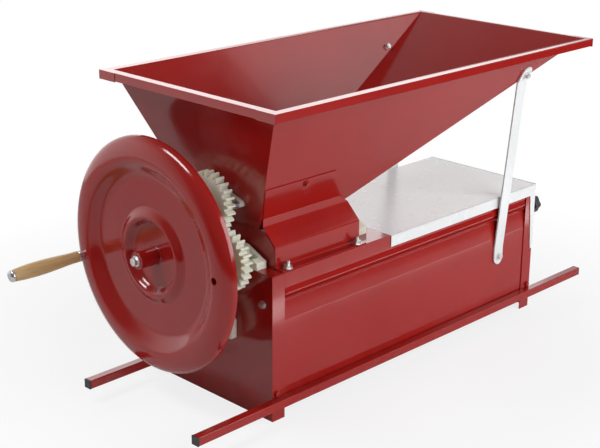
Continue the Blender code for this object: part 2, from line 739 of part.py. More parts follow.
def build_hopper():
    """Rings of a rectangular funnel from the collar up to the rim and down the folded lip."""
    lip_x0 = HOPPER_X0 - LIP_WIDTH
    lip_x1 = HOPPER_X1 + LIP_WIDTH
    lip_y = HOPPER_WIDTH / 2 + LIP_WIDTH
    rings = [
        (THROAT_START, THROAT_END, THROAT_WIDTH / 2, THROAT_HEIGHT - COLLAR_DEPTH),
        (THROAT_START, THROAT_END, THROAT_WIDTH / 2, THROAT_HEIGHT),
        (HOPPER_X0, HOPPER_X1, HOPPER_WIDTH / 2, RIM_HEIGHT),
        (lip_x0, lip_x1, lip_y, RIM_HEIGHT),
        (lip_x0, lip_x1, lip_y, RIM_HEIGHT - LIP_DROP),
    ]
    bm = bmesh.new()
    loops = []
    for x0, x1, y, z in rings:
        loops.append([bm.verts.new(p) for p in ((x0, -y, z), (x1, -y, z), (x1, y, z), (x0, y, z))])
    for lower, upper in zip(loops, loops[1:]):
        for i in range(4):
            j = (i + 1) % 4
            bm.faces.new((lower[i], lower[j], upper[j], upper[i]))
    hopper = thicken("hopper", bm, HOPPER_SHEET, 1)
    drill(hopper, HOPPER_X0, hopper_right_x(AGITATOR_Z + AGITATOR_BUSH_DROP) + LIP_WIDTH,
          running_radius(AGITATOR_RADIUS) + RUN_GAP, AGITATOR_Y, AGITATOR_Z)
    for side, sign in SIDES:
        start, normal = strut_top_bolt(sign)
        reach = normal * (HOPPER_SHEET + CUT_OVERRUN)
        cut(hopper, pin_between("hole", start - reach, start + reach, running_radius(BOLT_RADIUS, 12)))
    return painted(hopper)


def build_apron(side, sign):
    """Bent sheet from the hopper's long wall over a shoulder down to a bolted foot."""
    path = apron_path()
    limits = [
        (hopper_left_x(APRON_TOP_HEIGHT), APRON_END - APRON_TOP_CUT),
        (APRON_START, APRON_END - APRON_BEND_CUT),
        (APRON_START, APRON_END),
    ]
    bends = rounded(path[2:], APRON_BEND_RADIUS)
    rows = [(*limits[0], *path[0]), (*limits[1], *path[1])]
    rows += [(*limits[2], *point) for point in bends]
    rows = [(x0, x1, sign * y, z) for x0, x1, y, z in rows]
    apron = strip(f"apron_{side}", rows, APRON_SHEET, sign)
    for x in apron_bolt_stations():
        cut(apron, apron_bolt_hole(x, sign, SEAT_TOP, SEAT_TOP + APRON_SHEET))
    return painted(apron)


def apron_bolt_stations():
    return (APRON_START + APRON_BOLT_INSET, APRON_END - APRON_BOLT_INSET)


def apron_bolt_y():
    """Middle of the apron's foot, clear of its bend and of the wall's flange."""
    face_y = APRON_FACE_WIDTH / 2 - APRON_SHEET
    return face_y + APRON_BEND_RADIUS + APRON_WASHER_RADIUS + SEAT_GAP


def apron_bolt_hole(x, sign, low, high):
    """Cutter for one apron bolt through a sheet that lies between two heights."""
    y = sign * apron_bolt_y()
    return pin_between("hole", (x, y, low - CUT_OVERRUN), (x, y, high + CUT_OVERRUN),
                       running_radius(BOLT_RADIUS, 12))


def build_housing_end(side, x0):
    """Flat wall across the roller housing, fitted inside the aprons, with both shafts through it."""
    path = apron_path()
    clear = SEAT_GAP * 2
    top = THROAT_HEIGHT - COLLAR_DEPTH - SEAT_GAP
    strip_y, strip_z = path[2]
    face_y = path[3][0]
    slope = (face_y - strip_y) / (strip_z - APRON_SHOULDER_HEIGHT)
    shoulder = APRON_SHOULDER_HEIGHT - APRON_BEND_RADIUS / 2
    top_y = strip_y + slope * (strip_z - top) - clear * 2
    half = [(face_y - clear, SEAT_TOP), (face_y - clear, shoulder), (top_y, top)]
    outline = [(-y, z) for y, z in half] + [(y, z) for y, z in reversed(half)]
    wall = prism(f"housing_end_{side}", outline, x0, x0 + HOUSING_SHEET)
    for y in (FRONT_Y, REAR_Y):
        drill(wall, x0 - CUT_OVERRUN, x0 + HOUSING_SHEET + CUT_OVERRUN, SHAFT_RADIUS + SHAFT_HOLE_CLEARANCE,
              y, SHAFT_HEIGHT)
    return painted(wall)


def hex_prism(name, start, end, radius):
    return pin_between(name, start, end, radius, 6)


def through_bolt(name, head, direction, grip, tail, near_radii=BOLT_RADII, far_radii=BOLT_RADII):
    """Hex head and washer at one end, shank through the joint, washer and nut at the other.

    The radii of an end are those of its washer and of its hexagon.
    """
    head = Vector(head)
    along = Vector(direction).normalized()
    washer = along * BOLT_WASHER_THICKNESS
    clear = along * SEAT_GAP
    near = head - clear
    far = head + along * grip + clear
    bolt = pin_between(name, near - washer, far + washer + along * (BOLT_HEAD_THICKNESS + tail), BOLT_RADIUS)
    fuse(bolt, pin_between("washer", near - washer, near, near_radii[0]),
         hex_prism("head", near - washer - along * BOLT_HEAD_THICKNESS, near - washer / 2, near_radii[1]),
         pin_between("washer", far, far + washer, far_radii[0]),
         hex_prism("nut", far + washer / 2, far + washer + along * BOLT_HEAD_THICKNESS, far_radii[1]))
    return zinc(bolt)


def build_apron_bolts():
    """The bolts clamp each apron's foot on the frame with wide washers, nut and stud's end upwards."""
    stations = zip(("left", "right"), apron_bolt_stations())
    under = PANEL_HEIGHT - WALL_SHEET
    grip = SEAT_TOP + APRON_SHEET - under
    for end, x in stations:
        for side, sign in SIDES:
            through_bolt(f"apron_bolt_{side}_{end}", (x, sign * apron_bolt_y(), under), (0, 0, 1), grip,
                         STUD_TAIL, (APRON_STUD_HEAD_RADIUS, APRON_STUD_HEAD_RADIUS),
                         (APRON_WASHER_RADIUS, APRON_NUT_RADIUS))


def strut_top_bolt(sign):
    """Point on the hopper's inner face where the strut's bolt goes, and the wall's outward normal."""
    y = HOPPER_WIDTH / 2 - SIDE_SLOPE * STRUT_TOP_BOLT_DROP
    normal = Vector((0, sign, -SIDE_SLOPE)).normalized()
    return Vector((STRUT_X, sign * y, RIM_HEIGHT - STRUT_TOP_BOLT_DROP)), normal


def strut_path():
    """Inner face of the strut: flat on the wall, straight up, flat on the hopper."""
    lean = math.hypot(1, SIDE_SLOPE)
    offset = (HOPPER_SHEET + SEAT_GAP) * lean

    def beside_hopper(drop):
        return HOPPER_WIDTH / 2 - SIDE_SLOPE * drop + offset

    wall_y = WALL_OUTER_Y + SEAT_GAP
    return [
        (wall_y, PANEL_HEIGHT - STRUT_FOOT_DROP),
        (wall_y, PANEL_HEIGHT - STRUT_FOOT_BEND_DROP),
        (beside_hopper(STRUT_TOP_BEND_DROP), RIM_HEIGHT - STRUT_TOP_BEND_DROP),
        (beside_hopper(STRUT_TOP_DROP), RIM_HEIGHT - STRUT_TOP_DROP),
    ]


def build_strut(side, sign):
    """Flat bar with round ends; the rows near an end narrow along a circle."""
    path = [Vector(p) for p in strut_path()]
    half = STRUT_WIDTH / 2
    rows = []

    def round_end(tip, inner, outwards):
        along = (inner - tip).normalized()
        steps = [i / STRUT_END_ROWS for i in range(STRUT_END_ROWS + 1)]
        end_rows = []
        for step in steps:
            angle = math.pi / 2 * step
            point = tip + along * half * (1 - math.cos(angle))
            width = max(half * math.sin(angle), half * math.sin(math.pi / 2 * steps[1] / 2))
            end_rows.append((STRUT_X - width, STRUT_X + width, sign * point.x, point.y))
        return end_rows if outwards else end_rows[::-1]

    rows += round_end(path[3], path[2], True)
    rows += [(STRUT_X - half, STRUT_X + half, sign * p.x, p.y) for p in (path[2], path[1])]
    rows += round_end(path[0], path[1], False)
    strut = strip(f"strut_{side}", rows, STRUT_SHEET, sign)
    start, normal = strut_top_bolt(sign)
    reach = HOPPER_SHEET + SEAT_GAP + STRUT_SHEET
    hole = running_radius(BOLT_RADIUS, 12)
    cut(strut, pin_between("hole", start, start + normal * (reach + CUT_OVERRUN), hole))
    foot = Vector((STRUT_X, sign * WALL_INNER_Y, PANEL_HEIGHT - STRUT_FOOT_BOLT_DROP))
    out = Vector((0, sign, 0))
    foot_grip = WALL_SHEET + SEAT_GAP + STRUT_SHEET
    cut(strut, pin_between("hole", foot, foot + out * (foot_grip + CUT_OVERRUN), hole))
    finish(strut, WHITE, 0.3)
    through_bolt(f"strut_bolt_{side}_top", start + normal * reach, -normal, reach, BOLT_WASHER_THICKNESS)
    through_bolt(f"strut_bolt_{side}_foot", foot + out * foot_grip, -out, foot_grip, BOLT_WASHER_THICKNESS)
    return strut


def build_screen():
    """Half-round perforated trough with straight sides and flanges that lie on the rails."""
    x0 = PANEL_SHEET + SEAT_GAP
    x1 = BODY_LENGTH - x0
    outer = SCREEN_RADIUS + SCREEN_SHEET
    path = [(outer + SCREEN_FLANGE, SCREEN_TOP), (outer, SCREEN_TOP)]
    for i in range(SCREEN_FACETS + 1):
        angle = math.pi * i / SCREEN_FACETS
        path.append((outer * math.cos(angle), DESTEMMER_Z - outer * math.sin(angle)))
    path += [(-outer, SCREEN_TOP), (-outer - SCREEN_FLANGE, SCREEN_TOP)]
    screen = strip("screen", [(x0, x1, y, z) for y, z in path], SCREEN_SHEET, -1)
    combine(screen, screen_holes(x0, x1), "DIFFERENCE")
    return finish(screen, STEEL, 0.35, 0.9, smooth=False)


def screen_holes(x0, x1):
    """Pins across every second facet, shifted by half a pitch from one row to the next."""
    first = x0 + SCREEN_HOLE_MARGIN
    half_pitch = (x1 - x0 - 2 * SCREEN_HOLE_MARGIN) / (2 * SCREEN_HOLE_COLUMNS - 1)
    near = SCREEN_RADIUS - CUT_OVERRUN * 2
    far = SCREEN_RADIUS + CUT_OVERRUN * 2
    bm = bmesh.new()
    for row, facet in enumerate(range(0, SCREEN_FACETS, 2)):
        half_facets = 2 * facet + 1 + 2 * (facet >= SCREEN_FACETS / 2)
        angle = math.pi * half_facets / 2 / SCREEN_FACETS
        out = Vector((0, math.cos(angle), -math.sin(angle)))
        turn = out.to_track_quat("Z", "Y").to_matrix().to_4x4()
        for column in range(SCREEN_HOLE_COLUMNS):
            x = first + half_pitch * (2 * column + row % 2)
            centre = Vector((x, 0, DESTEMMER_Z)) + out * (near + far) / 2
            made = bmesh.ops.create_cone(bm, cap_ends=True, segments=8, radius1=SCREEN_HOLE_RADIUS,
                                         radius2=SCREEN_HOLE_RADIUS, depth=far - near)
            bmesh.ops.transform(bm, matrix=Matrix.Translation(centre) @ turn, verts=made["verts"])
    return make_object("pins", bm)


def build_screen_rail(side, sign):
    """Angle on the wall's inner face, under the screen's flange."""
    top = SCREEN_TOP - SEAT_GAP
    wall_y = WALL_INNER_Y - SEAT_GAP
    x0 = POST_WIDTH
    x1 = BODY_LENGTH - POST_WIDTH
    rows = [
        (x0, x1, sign * (wall_y - RAIL_LEG), top),
        (x0, x1, sign * wall_y, top),
        (x0, x1, sign * wall_y, top - RAIL_LEG),
    ]
    return painted(strip(f"screen_rail_{side}", rows, RAIL_SHEET, -sign))


def build_bearing_block(side, y, end, x0):
    """Nylon block with sloping shoulders round the roller's shaft and a pocket for the foot bolt."""
    half = BLOCK_SPAN / 2
    foot = SEAT_TOP + BLOCK_FOOT_HEIGHT
    start = math.acos(BLOCK_CROWN_RADIUS / half)
    crown = [start + (math.pi - 2 * start) * i / 6 for i in range(7)]
    outline = [(y - half, SEAT_TOP), (y + half, SEAT_TOP), (y + half, foot)]
    outline += [(y + BLOCK_CROWN_RADIUS * math.cos(a), SHAFT_HEIGHT + BLOCK_CROWN_RADIUS * math.sin(a))
                for a in crown]
    outline += [(y - half, foot)]
    block = prism(f"bearing_block_{side}_{end}", outline, x0, x0 + BLOCK_LENGTH)
    drill(block, x0 - CUT_OVERRUN, x0 + BLOCK_LENGTH + CUT_OVERRUN, running_radius(SHAFT_RADIUS), y,
          SHAFT_HEIGHT)
    outwards = -1 if y < 0 else 1
    pocket_end = y + outwards * (half - BLOCK_POCKET_INSET)
    pocket_start = pocket_end - outwards * BLOCK_POCKET_WIDTH
    cut(block, box("pocket", (x0 - CUT_OVERRUN, min(pocket_start, pocket_end), foot - BLOCK_POCKET_DEPTH),
                   (x0 + BLOCK_POCKET_HEIGHT, max(pocket_start, pocket_end), SHAFT_HEIGHT + half)))
    return nylon(block)


def build_agitator_bearing():
    """Two-eared flange on the sloping left wall of the hopper, with a boss towards the gear."""
    half = AGITATOR_BEARING_HEIGHT / 2
    low = AGITATOR_Z - half
    high = AGITATOR_Z + half
    offset = (HOPPER_SHEET + SEAT_GAP) * math.hypot(1, LEFT_SLOPE)
    boss_x = GEAR_BACK_X + AGITATOR_GEAR_GAP
    front = boss_x + AGITATOR_BOSS_LENGTH
    outline = [(front, low), (hopper_left_x(low) - offset, low), (hopper_left_x(high) - offset, high),
               (front, high)]
    half_y = AGITATOR_EAR_PITCH / 2 + AGITATOR_EAR_RADIUS
    bearing = prism("agitator_bearing", outline, AGITATOR_Y - half_y, AGITATOR_Y + half_y, "Y")
    diamond = prism("diamond", eared_outline(half), front - CUT_OVERRUN, hopper_left_x(low) + CUT_OVERRUN)
    combine(bearing, diamond, "INTERSECT")
    fuse(bearing, rod("boss", boss_x, front + AGITATOR_BOSS_LENGTH / 2, AGITATOR_BOSS_RADIUS, AGITATOR_Y,
                      AGITATOR_Z))
    drill(bearing, boss_x - CUT_OVERRUN, hopper_left_x(low) + CUT_OVERRUN, running_radius(AGITATOR_RADIUS),
          AGITATOR_Y, AGITATOR_Z)
    return nylon(bearing)


def eared_outline(radius):
    """Outline of a round flange that tapers to an ear on either side, as (y, z)."""
    reach = AGITATOR_EAR_PITCH / 2
    lean = math.acos((radius - AGITATOR_EAR_RADIUS) / reach)
    outline = []
    for centre, size, start, end in ((0, radius, lean, math.pi - lean),
                                     (-reach, AGITATOR_EAR_RADIUS, math.pi - lean, math.pi + lean),
                                     (0, radius, math.pi + lean, 2 * math.pi - lean),
                                     (reach, AGITATOR_EAR_RADIUS, -lean, lean)):
        for i in range(7):
            angle = start + (end - start) * i / 6
            y = AGITATOR_Y + centre + size * math.cos(angle)
            outline.append((y, AGITATOR_Z + size * math.sin(angle)))
    return outline


def agitator_bush_x():
    """Where the hopper's sloping right wall is high enough to cover the bush."""
    drop = (HOPPER_SHEET + SEAT_GAP) * math.hypot(1, 1 / RIGHT_SLOPE)
    crown = AGITATOR_Z + AGITATOR_BUSH_COVER / 2 + drop
    return hopper_right_x(crown)


def build_agitator_bush():
    """Wedge under the hopper's right wall that holds the agitator's far end."""
    x0 = agitator_bush_x()
    x1 = x0 + AGITATOR_BUSH_LENGTH
    drop = (HOPPER_SHEET + SEAT_GAP) * math.hypot(1, 1 / RIGHT_SLOPE)

    def under_wall(x):
        return THROAT_HEIGHT + (x - THROAT_END) / RIGHT_SLOPE - drop

    low = AGITATOR_Z - AGITATOR_BUSH_DROP
    outline = [(x0, low), (x1, low), (x1, under_wall(x1)), (x0, under_wall(x0))]
    half = AGITATOR_BUSH_WIDTH / 2
    bush = prism("agitator_bush", outline, AGITATOR_Y - half, AGITATOR_Y + half, "Y")
    drill(bush, x0 - CUT_OVERRUN, x1 + CUT_OVERRUN, running_radius(AGITATOR_RADIUS), AGITATOR_Y, AGITATOR_Z)
    return nylon(bush)


def build_destemmer_bearings():
    """Bearing plate with chamfered corners on the left panel and a round bush on the outlet's bar."""
    side_y = FLANGE_BEARING_SPAN / 2
    edge_z = FLANGE_BEARING_HEIGHT / 2
    short_y = side_y - FLANGE_BEARING_CHAMFER
    short_z = edge_z - FLANGE_BEARING_CHAMFER
    half = [(-side_y, -short_z), (-short_y, -edge_z), (short_y, -edge_z), (side_y, -short_z)]
    outline = [(y, DESTEMMER_Z + z) for y, z in half + [(-y, -z) for y, z in half]]
    x1 = -SEAT_GAP
    x0 = x1 - FLANGE_BEARING_THICKNESS
    bearing = prism("destemmer_bearing", outline, x0, x1)
    drill(bearing, x0 - CUT_OVERRUN, x1 + CUT_OVERRUN, running_radius(SHAFT_RADIUS), 0, DESTEMMER_Z)
    nylon(bearing)
    x0 = BODY_LENGTH + SEAT_GAP
    x1 = x0 + OUTLET_BUSH_LENGTH
    bush = rod("outlet_bush", x0, x1, OUTLET_BUSH_RADIUS, 0, DESTEMMER_Z, 24)
    drill(bush, x0 - CUT_OVERRUN, x1 + CUT_OVERRUN, running_radius(SHAFT_RADIUS), 0, DESTEMMER_Z)
    nylon(bush)


def roller_outline(y, phase):
    steps = ROLLER_LOBES * 6
    points = []
    for i in range(steps):
        angle = 2 * math.pi * i / steps
        radius = ROLLER_RADIUS + ROLLER_LOBE_HEIGHT * math.cos(ROLLER_LOBES * (angle - phase))
        points.append((y + radius * math.cos(angle), SHAFT_HEIGHT + radius * math.sin(angle)))
    return points


def build_roller(side, y, phase, shaft_start):
    """Lobed crushing roller, one piece with its shaft."""
    roller = prism(f"roller_{side}", roller_outline(y, phase), ROLLER_START, ROLLER_END)
    fuse(roller, rod("shaft", shaft_start, SHAFT_END_X, SHAFT_RADIUS, y, SHAFT_HEIGHT))
    return finish(roller, STEEL, 0.4, 0.9)


def build_rollers():
    """The front roller shows a crest to the nip where the rear one shows a valley."""
    front = build_roller("front", FRONT_Y, 0.0, GEAR_FRONT_X - SHAFT_STUB)
    rear = build_roller("rear", REAR_Y, math.pi / ROLLER_LOBES, HUB_FRONT_X + SEAT_GAP)
    hole_end = HUB_FRONT_X + HUB_BOLT_SHANK_LENGTH + SEAT_GAP
    drill(rear, HUB_FRONT_X - CUT_OVERRUN, hole_end, running_radius(HUB_BOLT_SHANK_RADIUS, 12), REAR_Y,
          SHAFT_HEIGHT, 12)
    finish(rear, STEEL, 0.4, 0.9)
    return front, rear


def build_gears():
    """Equal gears turn the rollers against each other; the front one also turns the agitator."""
    boss_front = GEAR_FRONT_X - GEAR_BOSS_LENGTH
    boss = (boss_front, GEAR_FRONT_X + GEAR_FACE / 2)
    back = (GEAR_BACK_X - GEAR_FACE / 2, -CUT_OVERRUN)
    rear_phase = 0.0
    rear = gear("gear_rear", GEAR_TEETH, GEAR_MODULE, rear_phase, GEAR_FRONT_X, GEAR_BACK_X, REAR_Y,
                SHAFT_HEIGHT, SHAFT_RADIUS, (boss, back))
    front_phase = meshing_phase(math.pi, rear_phase, GEAR_TEETH, GEAR_TEETH)
    front = gear("gear_front", GEAR_TEETH, GEAR_MODULE, front_phase, GEAR_FRONT_X, GEAR_BACK_X, FRONT_Y,
                 SHAFT_HEIGHT, SHAFT_RADIUS, (back,))
    agitator_phase = meshing_phase(AGITATOR_LEAN, front_phase, GEAR_TEETH, GEAR_TEETH)
    agitator = gear("gear_agitator", GEAR_TEETH, GEAR_MODULE, agitator_phase, GEAR_FRONT_X, GEAR_BACK_X,
                    AGITATOR_Y, AGITATOR_Z, AGITATOR_RADIUS)
    drive_phase = 0.0
    drive_boss = (DRIVE_FRONT_X - GEAR_BOSS_LENGTH, DRIVE_FRONT_X + DRIVE_FACE / 2)
    drive = gear("gear_drive", DRIVE_TEETH, DRIVE_MODULE, drive_phase, DRIVE_FRONT_X, DRIVE_BACK_X, REAR_Y,
                 SHAFT_HEIGHT, SHAFT_RADIUS, (drive_boss,))
    pinion_phase = meshing_phase(DRIVE_DIRECTION, drive_phase, DRIVE_TEETH, PINION_TEETH)
    pinion = gear("pinion", PINION_TEETH, DRIVE_MODULE, pinion_phase, DRIVE_FRONT_X - PINION_EXTRA,
                  DRIVE_BACK_X + PINION_EXTRA, 0, DESTEMMER_Z, SHAFT_RADIUS)
    for item in (rear, front, agitator, drive, pinion):
        nylon(item)
    return rear, front, agitator, drive, pinion


def build_agitator():
    """Shaft over the rollers with fingers set round it in turn."""
    x0 = GEAR_FRONT_X - SHAFT_STUB
    x1 = agitator_bush_x() + AGITATOR_BUSH_LENGTH - SHAFT_STUB
    agitator = rod("agitator", x0, x1, AGITATOR_RADIUS, AGITATOR_Y, AGITATOR_Z)
    first = THROAT_START + AGITATOR_FINGER_MARGIN
    pitch = (THROAT_END - AGITATOR_FINGER_MARGIN - first) / (AGITATOR_FINGERS - 1)
    for i in range(AGITATOR_FINGERS):
        x = first + pitch * i
        angle = math.pi / 3 * i
        centre = Vector((x, AGITATOR_Y, AGITATOR_Z))
        reach = Vector((0, math.cos(angle), math.sin(angle))) * AGITATOR_FINGER_REACH
        fuse(agitator, pin_between("finger", centre - reach, centre + reach, AGITATOR_FINGER_RADIUS, 8))
    return finish(agitator, STEEL, 0.35, 0.9)


def build_destemmer_shaft():
    """Shaft with pitched paddles set along a helix, one flat plate each."""
    x0 = DRIVE_FRONT_X - PINION_EXTRA - SHAFT_STUB
    x1 = BODY_LENGTH + SEAT_GAP + OUTLET_BUSH_LENGTH + SHAFT_STUB
    shaft = rod("destemmer_shaft", x0, x1, SHAFT_RADIUS, 0, DESTEMMER_Z)
    half_stem = PADDLE_STEM_WIDTH / 2
    half_blade = PADDLE_BLADE_WIDTH / 2
    neck = PADDLE_REACH - PADDLE_BLADE_HEIGHT
    chamfer = (half_blade - half_stem) / 2
    outline = [(half_stem, SHAFT_RADIUS / 2), (half_stem, neck - chamfer), (half_blade, neck),
               (half_blade, PADDLE_REACH - chamfer), (half_blade - chamfer, PADDLE_REACH)]
    outline += [(-u, v) for u, v in reversed(outline)]
    last = BODY_LENGTH - PADDLE_END_INSET
    for i in range(PADDLE_COUNT):
        x = PADDLE_START + (last - PADDLE_START) * i / (PADDLE_COUNT - 1)
        paddle = prism("paddle", outline, -PADDLE_THICKNESS / 2, PADDLE_THICKNESS / 2, "Y")
        place = (Matrix.Translation((x, 0, DESTEMMER_Z)) @ Matrix.Rotation(PADDLE_STEP * i, 4, "X")
                 @ Matrix.Rotation(PADDLE_PITCH, 4, "Z"))
        paddle.data.transform(place)
        fuse(shaft, paddle)
    return finish(shaft, STEEL, 0.35, 0.9)


def wheel_front():
    """Front surface of the pressed wheel as (x, radius), from the hub out to the edge of the rolled rim."""
    web = WHEEL_WEB_X
    floor = web + WHEEL_FLOOR_DROP
    ring = web - WHEEL_RING_RISE
    crest = web - WHEEL_RIM_RISE
    roll_centre = WHEEL_RADIUS - WHEEL_RIM_ROLL
    points = [(floor, HUB_RADIUS + SEAT_GAP), (floor, WHEEL_FLOOR_RADIUS)]
    points += ease(floor, ring, WHEEL_FLOOR_RADIUS, WHEEL_RING_CREST_RADIUS, 3)
    points += ease(ring, web, WHEEL_RING_CREST_RADIUS, WHEEL_RING_RADIUS, 3)
    points.append((web, WHEEL_WEB_RADIUS))
    points += ease(web, crest, WHEEL_WEB_RADIUS, WHEEL_CHANNEL_RADIUS, 4)
    for i in range(6):
        angle = math.pi / 2 * i / 5
        back = crest + WHEEL_RIM_ROLL * (1 - math.cos(angle))
        points.append((back, roll_centre + WHEEL_RIM_ROLL * math.sin(angle)))
    points.append((crest + WHEEL_RIM_ROLL + WHEEL_RIM_SKIRT, WHEEL_RADIUS))
    return points


def ease(x0, x1, r0, r1, steps):
    """A smooth step between two flats, without its first point."""
    result = []
    for i in range(1, steps + 1):
        share = i / steps
        result.append((x0 + (x1 - x0) * (1 - math.cos(math.pi * share)) / 2, r0 + (r1 - r0) * share))
    return result


def wheel_back(front):
    """The same surface one sheet thickness behind, measured square to it."""
    back = []
    for i, (x, radius) in enumerate(front):
        before = front[max(i - 1, 0)]
        after = front[min(i + 1, len(front) - 1)]
        along = Vector((after[0] - before[0], after[1] - before[1])).normalized()
        back.append((x + along.y * WHEEL_SHEET, radius - along.x * WHEEL_SHEET))
    return back


def build_flywheel():
    front = wheel_front()
    loop = front + wheel_back(front)[::-1]
    wheel = turned("flywheel", loop, WHEEL_SEGMENTS, REAR_Y, SHAFT_HEIGHT, ring=True)
    inner = running_radius(SHAFT_RADIUS)
    outer = HUB_RADIUS + SEAT_GAP * 2
    wall = [(HUB_FRONT_X, inner), (HUB_FRONT_X, outer), (HUB_BACK_X, outer), (HUB_BACK_X, inner)]
    hub = turned("hub", wall, 16, REAR_Y, SHAFT_HEIGHT, ring=True)
    fuse(wheel, hub)
    spindle = running_radius(HANDLE_SPINDLE_RADIUS, 12)
    crest = WHEEL_CREST_X - CUT_OVERRUN
    behind = WHEEL_WEB_X + WHEEL_RIM_RISE
    drill(wheel, crest, behind, spindle, HANDLE_Y, HANDLE_Z, 12)
    hole_y = REAR_Y - WHEEL_HOLE_PITCH_RADIUS
    drill(wheel, crest, behind, WHEEL_HOLE_RADIUS, hole_y, SHAFT_HEIGHT - HUB_RADIUS, 8)
    return painted(wheel)


def build_hub_bolt():
    """Hex bolt and washer that close the hub tube and draw the wheel onto its shaft."""
    face = HUB_FRONT_X - SEAT_GAP
    front = face - HUB_WASHER_THICKNESS
    y, z = REAR_Y, SHAFT_HEIGHT
    bolt = rod("hub_bolt", front, face, HUB_WASHER_RADIUS, y, z)
    fuse(bolt, rod("shank", front, HUB_FRONT_X + HUB_BOLT_SHANK_LENGTH, HUB_BOLT_SHANK_RADIUS, y, z, 12),
         hex_prism("head", (front - HUB_BOLT_HEAD, y, z), (front + HUB_WASHER_THICKNESS / 2, y, z),
                   HUB_BOLT_RADIUS))
    return zinc(bolt)


def build_handle():
    """Spindle fixed through the rim, and the turned grip that spins on it."""
    y, z = HANDLE_Y, HANDLE_Z
    rim = WHEEL_CREST_X
    nut = rim + WHEEL_SHEET + HANDLE_NUT_GAP
    back = nut + HANDLE_NUT_THICKNESS
    collar = rim - HANDLE_COLLAR_LENGTH
    spindle = rod("handle_spindle", HANDLE_TIP_X, back, HANDLE_SPINDLE_RADIUS, y, z, 12)
    fuse(spindle, rod("cap", HANDLE_TIP_X, HANDLE_TIP_X + HANDLE_CAP_THICKNESS, HANDLE_CAP_RADIUS, y, z),
         rod("collar", collar, rim - SEAT_GAP, HANDLE_COLLAR_RADIUS, y, z),
         hex_prism("nut", (nut, y, z), (back, y, z), HANDLE_NUT_RADIUS))
    zinc(spindle)
    start = collar - RUN_GAP
    end = HANDLE_TIP_X + HANDLE_CAP_THICKNESS + RUN_GAP
    length = start - end
    bore = running_radius(HANDLE_SPINDLE_RADIUS)
    swell = GRIP_SWELL_RADIUS - GRIP_ROOT_RADIUS
    fall = GRIP_SWELL_RADIUS - GRIP_TIP_RADIUS
    profile = [(start, bore), (start, GRIP_ROOT_RADIUS), (start - FERRULE_LENGTH, GRIP_ROOT_RADIUS)]
    swell_shares = ((0.30, 0.35), (0.55, 0.75), (0.80, 1.0))
    profile += [(start - length * along, GRIP_ROOT_RADIUS + swell * rise) for along, rise in swell_shares]
    fall_shares = ((0.93, 0.30), (1.0, 1.0))
    profile += [(start - length * along, GRIP_SWELL_RADIUS - fall * drop) for along, drop in fall_shares]
    profile.append((end, bore))
    grip = turned("handle_grip", profile, 16, y, z, ring=True)
    finish(grip, BEECH, 0.45)
    return spindle, grip


def build_cover():
    """Cover plate whose side flanges run on down beside its end flap, which arches over the stem outlet."""
    side_y = HALF_BODY + SEAT_GAP + COVER_SHEET
    end_x = FLAP_X + COVER_SHEET
    flap_y = side_y - FLAP_INSET
    flange_end = end_x - FLAP_INSET
    low = COVER_TOP - COVER_FLANGE
    bm = bmesh.new()

    def vert(x, y, z):
        return bm.verts.new((x, y, z))

    corners = {}
    for sign in (-1, 1):
        corners[sign] = {
            "start": vert(COVER_START, sign * side_y, COVER_TOP),
            "end": vert(flange_end, sign * side_y, COVER_TOP),
            "fold": vert(end_x, sign * flap_y, COVER_TOP),
            "start_low": vert(COVER_START, sign * side_y, low),
            "corner": vert(flange_end - FLAP_RETURN_TOP, sign * side_y, low),
            "return_low": vert(flange_end - FLAP_RETURN_FOOT, sign * side_y, FLAP_HEIGHT),
            "end_low": vert(flange_end, sign * side_y, FLAP_HEIGHT),
        }
    front, rear = corners[-1], corners[1]
    bm.faces.new((front["start"], front["end"], front["fold"], rear["fold"], rear["end"], rear["start"]))
    ring = ("start", "start_low", "corner", "return_low", "end_low", "end")
    bm.faces.new([front[name] for name in ring])
    bm.faces.new([rear[name] for name in reversed(ring)])
    flap = [vert(end_x, y, z) for y, z in flap_outline(flap_y)]
    bm.faces.new([rear["fold"], front["fold"]] + flap)
    bmesh.ops.recalc_face_normals(bm, faces=bm.faces)
    bm.normal_update()
    top = max(bm.faces, key=lambda f: f.calc_area())
    cover = thicken("cover", bm, COVER_SHEET, -1 if top.normal.z > 0 else 1)
    for sign in (-1, 1):
        drill(cover, FLAP_X - CUT_OVERRUN, end_x + CUT_OVERRUN, running_radius(KNOB_STUD_RADIUS, 12),
              sign * KNOB_Y, KNOB_HEIGHT, 12)
    return finish(cover, WHITE, 0.3, smooth=False)


def flap_outline(flap_y):
    """From the front fold down the leg, over the arch and up the rear leg."""
    arch = OUTLET_RADIUS + FLAP_ARCH_CLEARANCE
    foot_angle = math.asin((DESTEMMER_Z - FLAP_HEIGHT) / arch)
    outline = [(-flap_y, FLAP_HEIGHT)]
    for i in range(17):
        angle = math.pi + foot_angle - (math.pi + 2 * foot_angle) * i / 16
        outline.append((arch * math.cos(angle), DESTEMMER_Z + arch * math.sin(angle)))
    outline.append((flap_y, FLAP_HEIGHT))
    return outline


def build_knob(side, sign):
    """Lobed plastic knob with its stud through the flap and the end panel."""
    y, z = sign * KNOB_Y, KNOB_HEIGHT
    face = FLAP_X + COVER_SHEET + SEAT_GAP
    neck = face + KNOB_NECK_LENGTH
    outline = []
    steps = KNOB_LOBES * 6
    for i in range(steps):
        angle = 2 * math.pi * i / steps
        radius = KNOB_RADIUS - KNOB_LOBE_HEIGHT * (1 - math.cos(KNOB_LOBES * angle)) / 2
        outline.append((y + radius * math.cos(angle), z + radius * math.sin(angle)))
    knob = prism(f"cover_knob_{side}", outline, neck, neck + KNOB_THICKNESS)
    inner = BODY_LENGTH - PANEL_SHEET - KNOB_STUD_LENGTH
    fuse(knob, rod("neck", face, neck + KNOB_THICKNESS / 2, KNOB_NECK_RADIUS, y, z),
         rod("stud", inner, face + KNOB_NECK_LENGTH / 2, KNOB_STUD_RADIUS, y, z, 12))
    return finish(knob, BLACK, 0.5)


